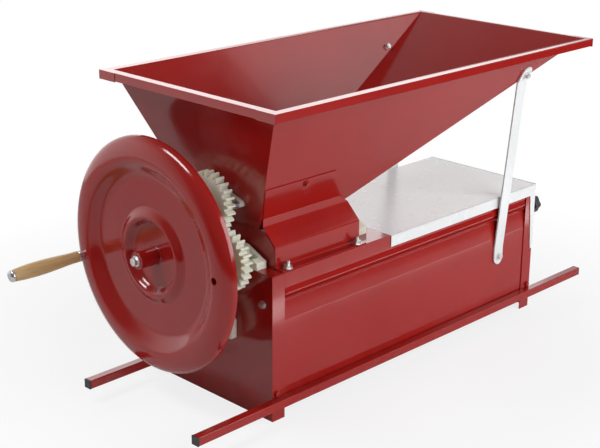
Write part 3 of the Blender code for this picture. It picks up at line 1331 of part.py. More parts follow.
def place_on_datum():
    """Carries every piece on one empty, so that the middle of the base is the world's origin."""
    low_x = min(HANDLE_TIP_X, SKID_START)
    low_y = -(HOPPER_WIDTH / 2 + LIP_WIDTH)
    high_y = REAR_Y + WHEEL_RADIUS
    datum = bpy.data.objects.new("datum", None)
    bpy.context.collection.objects.link(datum)
    datum.location = (-(low_x + SKID_END) / 2, -(low_y + high_y) / 2, 0)
    for obj in bpy.data.objects:
        if obj.type == "MESH":
            obj.parent = datum


def build_body():
    build_left_panel()
    build_right_panel()
    for side, sign in SIDES:
        build_wall(side, sign)
        build_skid(side, sign)
        build_apron(side, sign)
        build_strut(side, sign)
        build_screen_rail(side, sign)
    build_crusher_frame()
    build_hopper()
    build_housing_end("left", APRON_START)
    build_housing_end("right", APRON_END - HOUSING_SHEET)
    build_apron_bolts()
    build_screen()
    for side, y in (("front", FRONT_Y), ("rear", REAR_Y)):
        build_bearing_block(side, y, "left", 0.0)
        build_bearing_block(side, y, "right", BLOCK_RIGHT_START)
    build_agitator_bearing()
    build_agitator_bush()
    build_destemmer_bearings()


def build_moving_pieces():
    front_roller, rear_roller = build_rollers()
    gear_rear, gear_front, gear_agitator, gear_drive, pinion = build_gears()
    wheel = build_flywheel()
    spindle, grip = build_handle()
    crank = [wheel, build_hub_bolt(), spindle, rear_roller, gear_rear, gear_drive]
    hang_on_axis(crank, REAR_Y, SHAFT_HEIGHT)
    hang_on_axis([front_roller, gear_front], FRONT_Y, SHAFT_HEIGHT)
    hang_on_axis([build_agitator(), gear_agitator], AGITATOR_Y, AGITATOR_Z)
    hang_on_axis([build_destemmer_shaft(), pinion], 0, DESTEMMER_Z)
    hang_on_axis([grip], HANDLE_Y, HANDLE_Z)
    for side, sign in SIDES:
        hang_on_axis([build_knob(side, sign)], sign * KNOB_Y, KNOB_HEIGHT)
    build_cover()


clear_scene()
build_body()
build_moving_pieces()
place_on_datum()
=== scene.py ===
import json
import math

import bmesh
import bpy
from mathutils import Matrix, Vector


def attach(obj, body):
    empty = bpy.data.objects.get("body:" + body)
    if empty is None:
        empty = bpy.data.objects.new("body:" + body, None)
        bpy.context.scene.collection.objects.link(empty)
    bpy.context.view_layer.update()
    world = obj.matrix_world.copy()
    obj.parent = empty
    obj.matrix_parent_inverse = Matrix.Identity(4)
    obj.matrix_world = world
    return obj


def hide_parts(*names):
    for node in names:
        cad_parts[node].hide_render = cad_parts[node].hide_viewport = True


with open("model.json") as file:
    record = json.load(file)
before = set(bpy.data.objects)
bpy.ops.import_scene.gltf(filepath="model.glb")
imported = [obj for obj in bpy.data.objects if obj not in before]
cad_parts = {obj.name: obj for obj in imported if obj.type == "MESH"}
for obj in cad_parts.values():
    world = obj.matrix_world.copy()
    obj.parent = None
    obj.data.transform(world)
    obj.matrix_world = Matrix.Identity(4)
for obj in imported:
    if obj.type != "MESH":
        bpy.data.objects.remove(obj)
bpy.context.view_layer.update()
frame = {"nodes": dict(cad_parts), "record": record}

# The part's own drawing starts at the left panel and the middle of the body
drawingStart = Vector((-0.354, -0.022625, 0.0))


def drawn(x, y, z):   # a place in the part's own drawing
    return drawingStart + Vector((x, y, z))


nodes = frame["nodes"]
mergeDistance = 0.000002   # points nearer than this are one
flatAngle = 0.6   # degrees, under which neighbouring faces are one


# Small helpers

def clearSelection():
    bpy.ops.object.select_all(action="DESELECT")


def pickOnly(piece):
    clearSelection()
    piece.select_set(True)
    bpy.context.view_layer.objects.active = piece


def settle(piece, name):   # place goes into the mesh, as a CAD node has it
    pickOnly(piece)
    bpy.ops.object.transform_apply(location=True, rotation=True, scale=True)
    piece.name = name
    piece.data.name = name
    return piece


def edit(piece):
    pickOnly(piece)
    bpy.ops.object.mode_set(mode="EDIT")
    bpy.ops.mesh.select_mode(type="VERT")


def leaveEdit():
    bpy.ops.object.mode_set(mode="OBJECT")


def mergeAndTurnOut(piece):
    edit(piece)
    bpy.ops.mesh.select_all(action="SELECT")
    bpy.ops.mesh.remove_doubles(threshold=mergeDistance)
    bpy.ops.mesh.normals_make_consistent(inside=False)
    leaveEdit()


def smoothBy(piece, degrees):
    pickOnly(piece)
    bpy.ops.object.shade_smooth_by_angle(angle=math.radians(degrees))


def applyModifiers(piece):
    pickOnly(piece)
    for modifier in list(piece.modifiers):
        bpy.ops.object.modifier_apply(modifier=modifier.name)


def evenShading(piece, degrees):   # flat faces stay flat beside their rounded edges
    smoothBy(piece, degrees)
    weigh = piece.modifiers.new("shading", "WEIGHTED_NORMAL")
    weigh.mode = "FACE_AREA"
    weigh.weight = 80
    weigh.keep_sharp = True
    applyModifiers(piece)


def softenEdges(piece, width, segments, smooth=35):
    bevel = piece.modifiers.new("edges", "BEVEL")
    bevel.width = width
    bevel.segments = segments
    bevel.limit_method = "ANGLE"
    bevel.angle_limit = math.radians(30)
    applyModifiers(piece)
    evenShading(piece, smooth)


def dress(piece, body, slot, *replaced):
    piece.data.materials.clear()
    piece.data.materials.append(finishes[slot])
    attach(piece, body)
    if replaced:
        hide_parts(*replaced)


def joinAll(pieces, name):
    clearSelection()
    for piece in pieces:
        piece.select_set(True)
    bpy.context.view_layer.objects.active = pieces[0]
    bpy.ops.object.join()
    pieces[0].name = name
    pieces[0].data.name = name
    return pieces[0]


def turned(name, outline, y, z, steps, closed=True):   # (x, radius) points turned about a line along X
    clearSelection()
    firstX, firstRadius = outline[0]
    bpy.ops.mesh.primitive_plane_add(size=0.001, location=(firstX, y, z + firstRadius))
    piece = settle(bpy.context.active_object, name)
    edit(piece)
    bpy.ops.mesh.select_all(action="SELECT")
    bpy.ops.mesh.merge(type="CENTER")
    bpy.ops.mesh.select_all(action="SELECT")
    lastX, lastRadius = outline[0]
    path = outline[1:] + ([outline[0]] if closed else [])
    for x, radius in path:
        move = (x - lastX, 0, radius - lastRadius)
        bpy.ops.mesh.extrude_vertices_move(TRANSFORM_OT_translate={"value": move})
        lastX, lastRadius = x, radius
    bpy.ops.mesh.select_all(action="SELECT")
    bpy.ops.mesh.spin(steps=steps, angle=2 * math.pi, center=(0, y, z), axis=(1, 0, 0))
    leaveEdit()
    mergeAndTurnOut(piece)
    return piece


def drillAlongX(piece, x, y, z, radius, depth):
    clearSelection()
    bpy.ops.mesh.primitive_cylinder_add(vertices=28, radius=radius, depth=depth, location=(x, y, z),
                                        rotation=(0, math.pi / 2, 0))
    drill = settle(bpy.context.active_object, "drill")
    hole = piece.modifiers.new("hole", "BOOLEAN")
    hole.operation = "DIFFERENCE"
    hole.object = drill
    applyModifiers(piece)
    bpy.data.objects.remove(drill, do_unlink=True)


def copyOf(node, name):   # a CAD node's mesh as one merged skin
    source = nodes[node]
    piece = bpy.data.objects.new(name, source.data.copy())
    bpy.context.scene.collection.objects.link(piece)
    piece.data.name = name
    piece.data.materials.clear()
    edit(piece)
    bpy.ops.mesh.select_all(action="SELECT")
    bpy.ops.mesh.remove_doubles(threshold=mergeDistance)
    bpy.ops.mesh.select_all(action="SELECT")
    bpy.ops.mesh.dissolve_limited(angle_limit=math.radians(flatAngle))
    leaveEdit()
    return piece


narrowFace = 0.0035   # a cut edge's face is narrower than this


def foldedSheet(piece, bend, cut, least=25):   # wide bends, fine cut edges
    mesh = bmesh.new()
    mesh.from_mesh(piece.data)
    weights = mesh.edges.layers.float.new("bevel_weight_edge")
    for edge in mesh.edges:
        if len(edge.link_faces) != 2 or edge.calc_face_angle(0) < math.radians(least):
            continue
        narrow = min(2 * face.calc_area() / face.calc_perimeter() for face in edge.link_faces)
        edge[weights] = 1.0 if narrow > narrowFace else cut / bend
    mesh.to_mesh(piece.data)
    mesh.free()
    bevel = piece.modifiers.new("folds", "BEVEL")
    bevel.width = bend
    bevel.segments = 3
    bevel.limit_method = "WEIGHT"
    bevel.use_clamp_overlap = False
    applyModifiers(piece)
    evenShading(piece, 35)
    return piece


# Materials

class Paint:   # the nodes of one finish, laid out left to right
    def __init__(self, name):
        self.material = bpy.data.materials.new(name)
        self.material.use_nodes = True
        self.tree = self.material.node_tree
        self.tree.nodes.clear()
        self.output = self.add("ShaderNodeOutputMaterial", 900, 0)
        self.shader = self.add("ShaderNodeBsdfPrincipled", 600, 0)
        self.link(self.shader, "BSDF", self.output, "Surface")
        self.place = self.add("ShaderNodeTexCoord", -900, 0)

    def add(self, kind, x, y):
        node = self.tree.nodes.new(kind)
        node.location = (x, y)
        return node

    def link(self, fromNode, fromSocket, toNode, toSocket):
        self.tree.links.new(fromNode.outputs[fromSocket], toNode.inputs[toSocket])

    def stretched(self, scale, y):   # object coordinates, stretched along an axis
        mapping = self.add("ShaderNodeMapping", -700, y)
        mapping.inputs["Scale"].default_value = scale
        self.link(self.place, "Object", mapping, "Vector")
        return mapping

    def noise(self, scale, detail, rough, source=None, y=0, distortion=0.0):
        noise = self.add("ShaderNodeTexNoise", -500, y)
        noise.inputs["Scale"].default_value = scale
        noise.inputs["Detail"].default_value = detail
        noise.inputs["Roughness"].default_value = rough
        noise.inputs["Distortion"].default_value = distortion
        if source is None:
            self.link(self.place, "Object", noise, "Vector")
        else:
            self.link(source, "Vector", noise, "Vector")
        return noise

    def ramp(self, source, socket, stops, y=0):
        ramp = self.add("ShaderNodeValToRGB", -250, y)
        while len(ramp.color_ramp.elements) < len(stops):
            ramp.color_ramp.elements.new(0.5)
        for element, (position, colour) in zip(ramp.color_ramp.elements, stops):
            element.position = position
            element.color = (*colour, 1)
        self.link(source, socket, ramp, "Fac")
        return ramp

    def grey(self, source, socket, low, high, fromLow=0.3, fromHigh=0.7, y=0):
        spread = self.add("ShaderNodeMapRange", -50, y)
        spread.inputs["From Min"].default_value = fromLow
        spread.inputs["From Max"].default_value = fromHigh
        spread.inputs["To Min"].default_value = low
        spread.inputs["To Max"].default_value = high
        self.link(source, socket, spread, "Value")
        return spread

    def mix(self, factor, factorSocket, below, belowSocket, colour, y):   # a plain colour laid over a pattern
        mix = self.add("ShaderNodeMix", 150, y)
        mix.data_type = "RGBA"
        self.link(factor, factorSocket, mix, 0)
        self.link(below, belowSocket, mix, 6)
        mix.inputs[7].default_value = (*colour, 1)
        return mix

    def bump(self, source, socket, strength, distance, before=None, y=-400):
        bump = self.add("ShaderNodeBump", 350, y)
        bump.inputs["Strength"].default_value = strength
        bump.inputs["Distance"].default_value = distance
        self.link(source, socket, bump, "Height")
        if before is not None:
            self.link(before, "Normal", bump, "Normal")
        return bump

    def dust(self, top, amount):   # settled dirt that thins out up to a height
        split = self.add("ShaderNodeSeparateXYZ", -700, -200)
        self.link(self.place, "Object", split, "Vector")
        height = self.grey(split, "Z", amount, 0.0, 0.0, top, -200)
        patch = self.noise(38.0, 6.0, 0.62, y=-350)
        spread = self.grey(patch, "Fac", 0.0, 1.0, 0.38, 0.68, -350)
        both = self.add("ShaderNodeMath", 50, -200)
        both.operation = "MULTIPLY"
        self.link(height, "Result", both, 0)
        self.link(spread, "Result", both, 1)
        return both

    def spots(self, source, edge, y):   # white where the pattern passes the edge
        start, full = edge
        return self.ramp(source, "Fac", ((0.0, (0, 0, 0)), (start, (0, 0, 0)), (full, (1, 1, 1))), y)

    def colourBy(self, source, colours):
        ramp = self.ramp(source, "Fac", colours, 300)
        self.link(ramp, "Color", self.shader, "Base Color")

    def glossBy(self, source, gloss):   # roughness from the pattern's low end to its high end
        spread = self.grey(source, "Fac", *gloss, y=-100)
        self.link(spread, "Result", self.shader, "Roughness")

    def skinBy(self, bump):
        self.link(bump, "Normal", self.shader, "Normal")


redPowder = {
    "colours": ((0.3, (0.285, 0.0080, 0.0062)), (0.75, (0.325, 0.0100, 0.0078))),
    "dust": (0.20, 0.12, 0.10), "dustTop": 0.10, "dustAmount": 0.12,
    "speck": (0.36, 0.10, 0.09), "speckEdge": (0.735, 0.78),
    "gloss": (0.09, 0.16), "ior": 1.5, "coat": 0.15, "coatGloss": 0.03,
    "flow": (0.03, 0.004), "orangePeel": (0.05, 0.001),
}


def redPowderCoat():
    paint = Paint("redPowderCoat")
    patches = paint.noise(5.5, 3.0, 0.5, y=300)
    colour = paint.ramp(patches, "Fac", redPowder["colours"], 300)
    dust = paint.dust(redPowder["dustTop"], redPowder["dustAmount"])
    dirty = paint.mix(dust, "Value", colour, "Color", redPowder["dust"], 200)
    speck = paint.noise(900.0, 2.0, 0.6, y=-50)
    specks = paint.spots(speck, redPowder["speckEdge"], -50)
    speckled = paint.mix(specks, "Color", dirty, "Result", redPowder["speck"], 100)
    paint.link(speckled, "Result", paint.shader, "Base Color")
    smear = paint.noise(26.0, 5.0, 0.6, y=-250, distortion=0.6)
    paint.glossBy(smear, redPowder["gloss"])
    paint.shader.inputs["IOR"].default_value = redPowder["ior"]
    paint.shader.inputs["Coat Weight"].default_value = redPowder["coat"]
    paint.shader.inputs["Coat Roughness"].default_value = redPowder["coatGloss"]
    wave = paint.noise(14.0, 2.0, 0.4, y=-600)
    flow = paint.bump(wave, "Fac", *redPowder["flow"], y=-600)
    peel = paint.noise(420.0, 2.0, 0.5, y=-450)
    paint.skinBy(paint.bump(peel, "Fac", *redPowder["orangePeel"], flow))
    return paint.material


whitePowder = {
    "colours": ((0.3, (0.69, 0.71, 0.715)), (0.6, (0.71, 0.73, 0.735))),
    "gloss": (0.25, 0.28), "ior": 1.52, "flow": (0.03, 0.002),
}


def whitePowderCoat():
    paint = Paint("whitePowderCoat")
    paint.colourBy(paint.noise(6.0, 3.0, 0.5, y=300), whitePowder["colours"])
    paint.glossBy(paint.noise(30.0, 4.0, 0.6, y=-200), whitePowder["gloss"])
    paint.shader.inputs["IOR"].default_value = whitePowder["ior"]
    wave = paint.noise(16.0, 2.0, 0.4, y=-450)
    paint.skinBy(paint.bump(wave, "Fac", *whitePowder["flow"]))
    return paint.material


def grained(name, values):   # patches of colour under one fine grain
    paint = Paint(name)
    paint.colourBy(paint.noise(*values["patches"], y=300, distortion=values["swirl"]), values["colours"])
    grain = paint.noise(*values["grain"], y=-100)
    paint.glossBy(grain, values["gloss"])
    paint.skinBy(paint.bump(grain, "Fac", *values["relief"]))
    paint.shader.inputs["Metallic"].default_value = values["metal"]
    return paint


naturalNylon = {
    "patches": (22.0, 6.0, 0.65), "swirl": 0.4, "metal": 0.0,
    "colours": ((0.3, (0.60, 0.60, 0.48)), (0.48, (0.70, 0.71, 0.60))),
    "grain": (260.0, 3.0, 0.55), "gloss": (0.34, 0.5), "relief": (0.12, 0.0006),
    "glow": 0.7, "glowReach": (0.014, 0.014, 0.010),
}


def castNylon():
    paint = grained("castNylon", naturalNylon)
    paint.shader.inputs["Subsurface Weight"].default_value = naturalNylon["glow"]
    paint.shader.inputs["Subsurface Radius"].default_value = naturalNylon["glowReach"]
    paint.shader.inputs["Subsurface Scale"].default_value = 1.0
    return paint.material


brightZinc = {
    "patches": (90.0, 4.0, 0.6), "swirl": 0.5, "metal": 1.0,
    "colours": ((0.25, (0.52, 0.53, 0.58)), (0.5, (0.70, 0.70, 0.72)), (0.72, (0.62, 0.58, 0.48))),
    "grain": (1400.0, 3.0, 0.6), "gloss": (0.2, 0.36), "relief": (0.08, 0.0004),
}


def zincPlate():
    return grained("zincPlate", brightZinc).material


sandCasting = {
    "patches": (60.0, 6.0, 0.65), "swirl": 0.0, "metal": 1.0,
    "colours": ((0.3, (0.40, 0.40, 0.39)), (0.65, (0.62, 0.62, 0.61))),
    "grain": (900.0, 4.0, 0.7), "gloss": (0.38, 0.6), "relief": (0.35, 0.0006),
}


def castAluminium():
    return grained("castAluminium", sandCasting).material


brushedSteel = {
    "stretch": (6.0, 260.0, 260.0),
    "colours": ((0.3, (0.50, 0.50, 0.51)), (0.7, (0.63, 0.63, 0.64))),
    "gloss": (0.24, 0.4), "relief": (0.1, 0.0005),
}


def millStainless():
    paint = Paint("millStainless")
    brushed = paint.noise(3.0, 5.0, 0.6, paint.stretched(brushedSteel["stretch"], 200), 200)
    paint.colourBy(brushed, brushedSteel["colours"])
    paint.glossBy(brushed, brushedSteel["gloss"])
    paint.skinBy(paint.bump(brushed, "Fac", *brushedSteel["relief"]))
    paint.shader.inputs["Metallic"].default_value = 1.0
    return paint.material


beechGrain = {
    "stretch": (9.0, 190.0, 190.0), "fleckStretch": (90.0, 900.0, 900.0),
    "colours": ((0.25, (0.44, 0.27, 0.12)), (0.7, (0.60, 0.41, 0.19))),
    "fleck": (0.31, 0.17, 0.075), "fleckEdge": (0.66, 0.74),
    "gloss": (0.34, 0.5), "relief": (0.12, 0.0005), "pores": (0.15, 0.0003),
}


def oiledBeech():
    paint = Paint("oiledBeech")
    grain = paint.noise(2.2, 5.0, 0.55, paint.stretched(beechGrain["stretch"], 250), 250, 0.8)
    colour = paint.ramp(grain, "Fac", beechGrain["colours"], 300)
    flecks = paint.noise(2.0, 2.0, 0.5, paint.stretched(beechGrain["fleckStretch"], 0), 50)
    spots = paint.spots(flecks, beechGrain["fleckEdge"], 50)
    marked = paint.mix(spots, "Color", colour, "Color", beechGrain["fleck"], 200)
    paint.link(marked, "Result", paint.shader, "Base Color")
    paint.glossBy(grain, beechGrain["gloss"])
    skin = paint.bump(grain, "Fac", *beechGrain["relief"])
    paint.skinBy(paint.bump(flecks, "Fac", *beechGrain["pores"], skin, -550))
    return paint.material


blackMoulding = {
    "patches": (40.0, 4.0, 0.6), "swirl": 0.0, "metal": 0.0,
    "colours": ((0.35, (0.014, 0.014, 0.015)), (0.7, (0.035, 0.035, 0.036))),
    "grain": (1100.0, 3.0, 0.6), "gloss": (0.32, 0.5), "relief": (0.2, 0.0004),
}


def mouldedBlack():
    return grained("mouldedBlack", blackMoulding).material


finishes = {
    "red_paint": redPowderCoat(),
    "white_paint": whitePowderCoat(),
    "nylon": castNylon(),
    "zinc_steel": zincPlate(),
    "cast_aluminium": castAluminium(),
    "stainless": millStainless(),
    "beech": oiledBeech(),
    "black_plastic": mouldedBlack(),
}
slotOf = {entry["node"]: entry["material_slot"] for entry in frame["record"]["subparts"]}
bodies = frame["record"]["behaviour"]["bodies"]
bodyOf = {node: body for body, members in bodies.items() for node in members}
print("finishes mixed:", len(finishes))

for name, node in nodes.items():   # every CAD node gets its finish, also those that a piece replaces
    node.data.materials.clear()
    node.data.materials.append(finishes[slotOf[name]])


def finishAs(piece, node):
    dress(piece, bodyOf[node], slotOf[node], node)


# Sheet metal

sheetFolds = {
    "hopper": (0.0014, 0.00035),
    "crusher_frame": (0.0010, 0.0003),
    "end_panel_left": (0.0008, 0.0003),
    "end_panel_right": (0.0008, 0.0003),
    "wall_front": (0.0005, 0.0003, 2.5),
    "wall_rear": (0.0005, 0.0003, 2.5),
    "apron_front": (0.0008, 0.0003),
    "apron_rear": (0.0008, 0.0003),
    "housing_end_left": (0.0006, 0.0003),
    "housing_end_right": (0.0006, 0.0003),
    "screen_rail_front": (0.0012, 0.0003),
    "screen_rail_rear": (0.0012, 0.0003),
    "cover": (0.0026, 0.0003),
    "skid_front": (0.0018, 0.0003),
    "skid_rear": (0.0018, 0.0003),
    "strut_front": (0.0008, 0.0006),
    "strut_rear": (0.0008, 0.0006),
}

wallBead = {"z": 0.2435, "reach": 0.0004, "raisedTo": 0.2464}

for name, folds in sheetFolds.items():
    piece = copyOf(name, "sheet_" + name)
    if name.startswith("wall"):   # the lower bead stands steeper over its groove
        for vertex in piece.data.vertices:
            if abs(vertex.co.z - wallBead["z"]) < wallBead["reach"]:
                vertex.co.z = wallBead["raisedTo"]
    finishAs(foldedSheet(piece, *folds), name)
print("sheet metal folded:", len(sheetFolds))


# Castings, mouldings and shafts

solidEdges = {
    "bearing_block_front_left": (0.0009, 3), "bearing_block_front_right": (0.0009, 3),
    "bearing_block_rear_left": (0.0009, 3), "bearing_block_rear_right": (0.0009, 3),
    "agitator_bearing": (0.0009, 3), "agitator_bush": (0.0009, 3),
    "destemmer_bearing": (0.0009, 3), "outlet_bush": (0.0009, 3),
    "gear_front": (0.0004, 2), "gear_rear": (0.0004, 2), "gear_drive": (0.0004, 2),
    "gear_agitator": (0.0004, 2), "pinion": (0.0004, 2),
    "roller_front": (0.0012, 2), "roller_rear": (0.0012, 2),
    "screen": (0.0002, 1), "agitator": (0.0006, 2), "destemmer_shaft": (0.0004, 1),
    "cover_knob_front": (0.0016, 3), "cover_knob_rear": (0.0016, 3),
    "skid_plug_front_left": (0.0008, 2), "skid_plug_front_right": (0.0008, 2),
    "skid_plug_rear_left": (0.0008, 2), "skid_plug_rear_right": (0.0008, 2),
    "apron_bolt_front_left": (0.0004, 2), "apron_bolt_front_right": (0.0004, 2),
    "apron_bolt_rear_left": (0.0004, 2), "apron_bolt_rear_right": (0.0004, 2),
    "strut_bolt_front_top": (0.0004, 2), "strut_bolt_front_foot": (0.0004, 2),
    "strut_bolt_rear_top": (0.0004, 2), "strut_bolt_rear_foot": (0.0004, 2),
    "hub_bolt": (0.0005, 2), "handle_spindle": (0.0005, 2),
}

handleAxis = {"y": 0.232722, "z": 0.266302}
spindleEnd = {"x": -0.6505, "share": 0.55}

for name, (width, segments) in solidEdges.items():
    piece = copyOf(name, "solid_" + name)
    if name == "handle_spindle":   # its end cap shrinks into the domed one
        for vertex in piece.data.vertices:
            if vertex.co.x < spindleEnd["x"]:
                vertex.co.y = handleAxis["y"] + (vertex.co.y - handleAxis["y"]) * spindleEnd["share"]
                vertex.co.z = handleAxis["z"] + (vertex.co.z - handleAxis["z"]) * spindleEnd["share"]
    softenEdges(piece, width, segments)
    finishAs(piece, name)
print("solids softened:", len(solidEdges))


# Fixings that the photograph shows beyond the CAD

fixings = {
    "panelBolt": {"hex": 0.0065, "height": 0.0050, "washer": 0.0082, "slot": "zinc_steel"},
    "earBolt": {"hex": 0.0060, "height": 0.0045, "washer": 0.0075, "slot": "zinc_steel"},
    "pocketBolt": {"hex": 0.0060, "height": 0.0050, "washer": 0.0080, "slot": "zinc_steel"},
    "postBolt": {"hex": 0.0062, "height": 0.0048, "washer": 0.0, "slot": "red_paint"},
    "apronBolt": {"hex": 0.0055, "height": 0.0035, "washer": 0.0078, "slot": "red_paint"},
}
washerThickness = 0.0014
washerRounding = 0.0003
headSink = 0.0001   # the head reaches this far into what it stands on


def hexBolt(name, kind, place, direction):   # a chamfered head, on a washer where it has one
    size = fixings[kind]
    lift = washerThickness if size["washer"] else 0.0
    clearSelection()
    bpy.ops.mesh.primitive_cylinder_add(vertices=6, radius=size["hex"], depth=size["height"],
                                        location=(0, 0, lift + size["height"] / 2 - headSink))
    head = settle(bpy.context.active_object, name)
    softenEdges(head, size["hex"] * 0.10, 2, 30)
    parts = [head]
    if size["washer"]:
        clearSelection()
        bpy.ops.mesh.primitive_cylinder_add(vertices=40, radius=size["washer"], depth=washerThickness,
                                            location=(0, 0, washerThickness / 2))
        washer = settle(bpy.context.active_object, name + "Washer")
        softenEdges(washer, washerRounding, 2, 30)
        parts.append(washer)
    bolt = joinAll(parts, name) if len(parts) > 1 else head
    bolt.rotation_euler = Vector(direction).to_track_quat("Z", "Y").to_euler()
    bolt.location = place
    settle(bolt, name)
    dress(bolt, "body", size["slot"])


fixingPlaces = {   # in the part's own drawing, y for the rear one of each pair
    "panelBolt": (0.0001, 0.1258, 0.2358),
    "earBolt": (0.0023, 0.044, 0.41601), "earsMiddle": -0.01103,
    "postBolt": (0.1512, 0.0570), "postEnds": (("Left", 0.0110), ("Right", 0.8153)),
    "apronTopBolt": (0.1107, 0.1283, 0.4489), "apronSlope": (0.8852, -0.4647),
    "pocketBolt": (0.0885, 0.3081), "pocketEnds": (("Left", 0.0090), ("Right", 0.2874)),
}

for side, sign in (("Front", -1), ("Rear", 1)):
    x, y, z = fixingPlaces["panelBolt"]
    hexBolt("panelBolt" + side, "panelBolt", drawn(x, sign * y, z), (-1, 0, 0))
    x, y, z = fixingPlaces["earBolt"]
    hexBolt("earBolt" + side, "earBolt", drawn(x, fixingPlaces["earsMiddle"] + sign * y, z), (-1, 0, 0))
    y, z = fixingPlaces["postBolt"]
    for end, x in fixingPlaces["postEnds"]:
        hexBolt("postBolt" + end + side, "postBolt", drawn(x, sign * y, z), (0, sign, 0))
    x, y, z = fixingPlaces["apronTopBolt"]
    outY, outZ = fixingPlaces["apronSlope"]
    hexBolt("apronTopBolt" + side, "apronBolt", drawn(x, sign * y, z), (0.0, sign * outY, outZ))
    y, z = fixingPlaces["pocketBolt"]
    for end, x in fixingPlaces["pocketEnds"]:
        hexBolt("pocketBolt" + side + end, "pocketBolt", drawn(x, sign * y, z), (0, 0, 1))
print("fixings added")


# Corner pieces over the ends of the hopper's lip

cornerPiece = {
    "length": 0.048, "height": 0.0178, "proud": 0.0010, "sheet": 0.0022, "rounding": 0.0006,
    "sideY": 0.2424, "top": 0.6352, "ends": (("Left", -0.0791, -1), ("Right", 0.8709, 1)),
}


def addCornerPiece(name, endX, outward, side):
    clearSelection()
    size = cornerPiece
    middleX = endX + outward * (size["proud"] - size["sheet"] / 2)
    middleY = side * (size["sideY"] - size["length"] / 2)
    middleZ = size["top"] - size["height"] / 2
    bpy.ops.mesh.primitive_cube_add(size=1.0, location=drawn(middleX, middleY, middleZ))
    piece = bpy.context.active_object
    edit(piece)
    bpy.ops.mesh.select_all(action="SELECT")
    bpy.ops.transform.resize(value=(size["sheet"], size["length"], size["height"]))
    leaveEdit()
    settle(piece, name)
    softenEdges(piece, size["rounding"], 3)
    dress(piece, "body", "red_paint")


for end, endX, outward in cornerPiece["ends"]:
    for sideName, side in (("Front", -1), ("Rear", 1)):
        addCornerPiece("lipCorner" + end + sideName, endX, outward, side)
print("lip corners added")


# Flywheel

wheel = {
    "y": 0.033625, "z": 0.313, "webX": -0.4666, "sheet": 0.003, "radius": 0.231, "steps": 160,
    "floorDrop": 0.006, "floorRing": 0.035, "floorRadius": 0.060,
    "ringRise": 0.008, "crestRadius": 0.075, "ringRadius": 0.098, "ringSteps": (10, 12),
    "webRings": (0.115, 0.132), "webRadius": 0.150,
    "rimCrest": 0.192, "rimRise": 0.018, "rimSteps": 16, "rimRoll": 0.021, "rollSteps": 20, "skirt": 0.002,
}
hub = {
    "front": -0.5046, "back": -0.424, "radius": 0.0171, "bore": 0.0052, "backBore": 0.0125, "steps": 72,
    "nose": ((0.0, -0.0012), (0.0005, -0.0004), (0.0014, 0.0)),   # behind the front, beyond the radius
    "weld": ((0.0035, 0.0), (0.0052, 0.0008), (0.0062, 0.0022), (0.0090, 0.0022), (0.0110, 0.0)),
}
rimHole = {"y": -0.1598, "z": 0.3215, "radius": 0.0072, "drill": 0.06}
blindNut = {"front": 0.0026, "back": 0.0140, "floor": 0.003, "radius": 0.0110, "slack": 0.0004, "steps": 36}


def easeTo(line, x, radius, steps):
    startX, startRadius = line[-1]
    for i in range(1, steps + 1):
        share = i / steps
        swing = (1 - math.cos(math.pi * share)) / 2
        line.append((startX + (x - startX) * swing, startRadius + (radius - startRadius) * share))


def wheelFace():
    web = wheel["webX"]
    floor = web + wheel["floorDrop"]
    crest = web - wheel["rimRise"]
    line = [(floor, hub["radius"]), (floor, wheel["floorRing"]), (floor, wheel["floorRadius"])]
    easeTo(line, web - wheel["ringRise"], wheel["crestRadius"], wheel["ringSteps"][0])
    easeTo(line, web, wheel["ringRadius"], wheel["ringSteps"][1])
    line += [(web, radius) for radius in (*wheel["webRings"], wheel["webRadius"])]
    easeTo(line, crest, wheel["rimCrest"], wheel["rimSteps"])
    reach = wheel["radius"] - wheel["rimCrest"]
    for i in range(1, wheel["rollSteps"] + 1):
        angle = math.pi / 2 * i / wheel["rollSteps"]
        line.append((crest + wheel["rimRoll"] * (1 - math.cos(angle)),
                     wheel["rimCrest"] + reach * math.sin(angle)))
    line.append((crest + wheel["rimRoll"] + wheel["skirt"], wheel["radius"]))
    return line


def backOf(line, thickness):   # the same line a sheet's thickness behind
    back = []
    for i, (x, radius) in enumerate(line):
        before = Vector(line[max(i - 1, 0)])
        after = Vector(line[min(i + 1, len(line) - 1)])
        along = (after - before).normalized()
        back.append((x + along.y * thickness, radius - along.x * thickness))
    return back


face = wheelFace()
wheelLine = face + backOf(face, wheel["sheet"])[::-1]
wheelPiece = turned("pressedWheel", wheelLine, wheel["y"], wheel["z"], wheel["steps"])
drillAlongX(wheelPiece, wheel["webX"], rimHole["y"], rimHole["z"], rimHole["radius"], rimHole["drill"])
hubLine = [(hub["front"], hub["bore"])]
hubLine += [(hub["front"] + along, hub["radius"] + out) for along, out in hub["nose"]]
hubLine += [(wheel["webX"] + along, hub["radius"] + out) for along, out in hub["weld"]]
hubLine += [(hub["back"], hub["radius"]), (hub["back"], hub["backBore"])]
hubPiece = turned("hubTube", hubLine, wheel["y"], wheel["z"], hub["steps"])
crestX = wheel["webX"] - wheel["rimRise"]
nutBore = rimHole["radius"] + blindNut["slack"]
nutFloor = crestX + blindNut["back"] - blindNut["floor"]
nutLine = [
    (crestX + blindNut["front"], nutBore), (crestX + blindNut["front"], blindNut["radius"]),
    (crestX + blindNut["back"], blindNut["radius"]), (crestX + blindNut["back"], 0.0),
    (nutFloor, 0.0), (nutFloor, nutBore),
]
nutPiece = turned("weldedNut", nutLine, rimHole["y"], rimHole["z"], blindNut["steps"])   # closes the hole
for piece in (wheelPiece, hubPiece, nutPiece):
    evenShading(piece, 40)
wheelPiece = joinAll([wheelPiece, hubPiece, nutPiece], "pressedFlywheel")
finishAs(wheelPiece, "flywheel")
print("flywheel turned")


# Handle

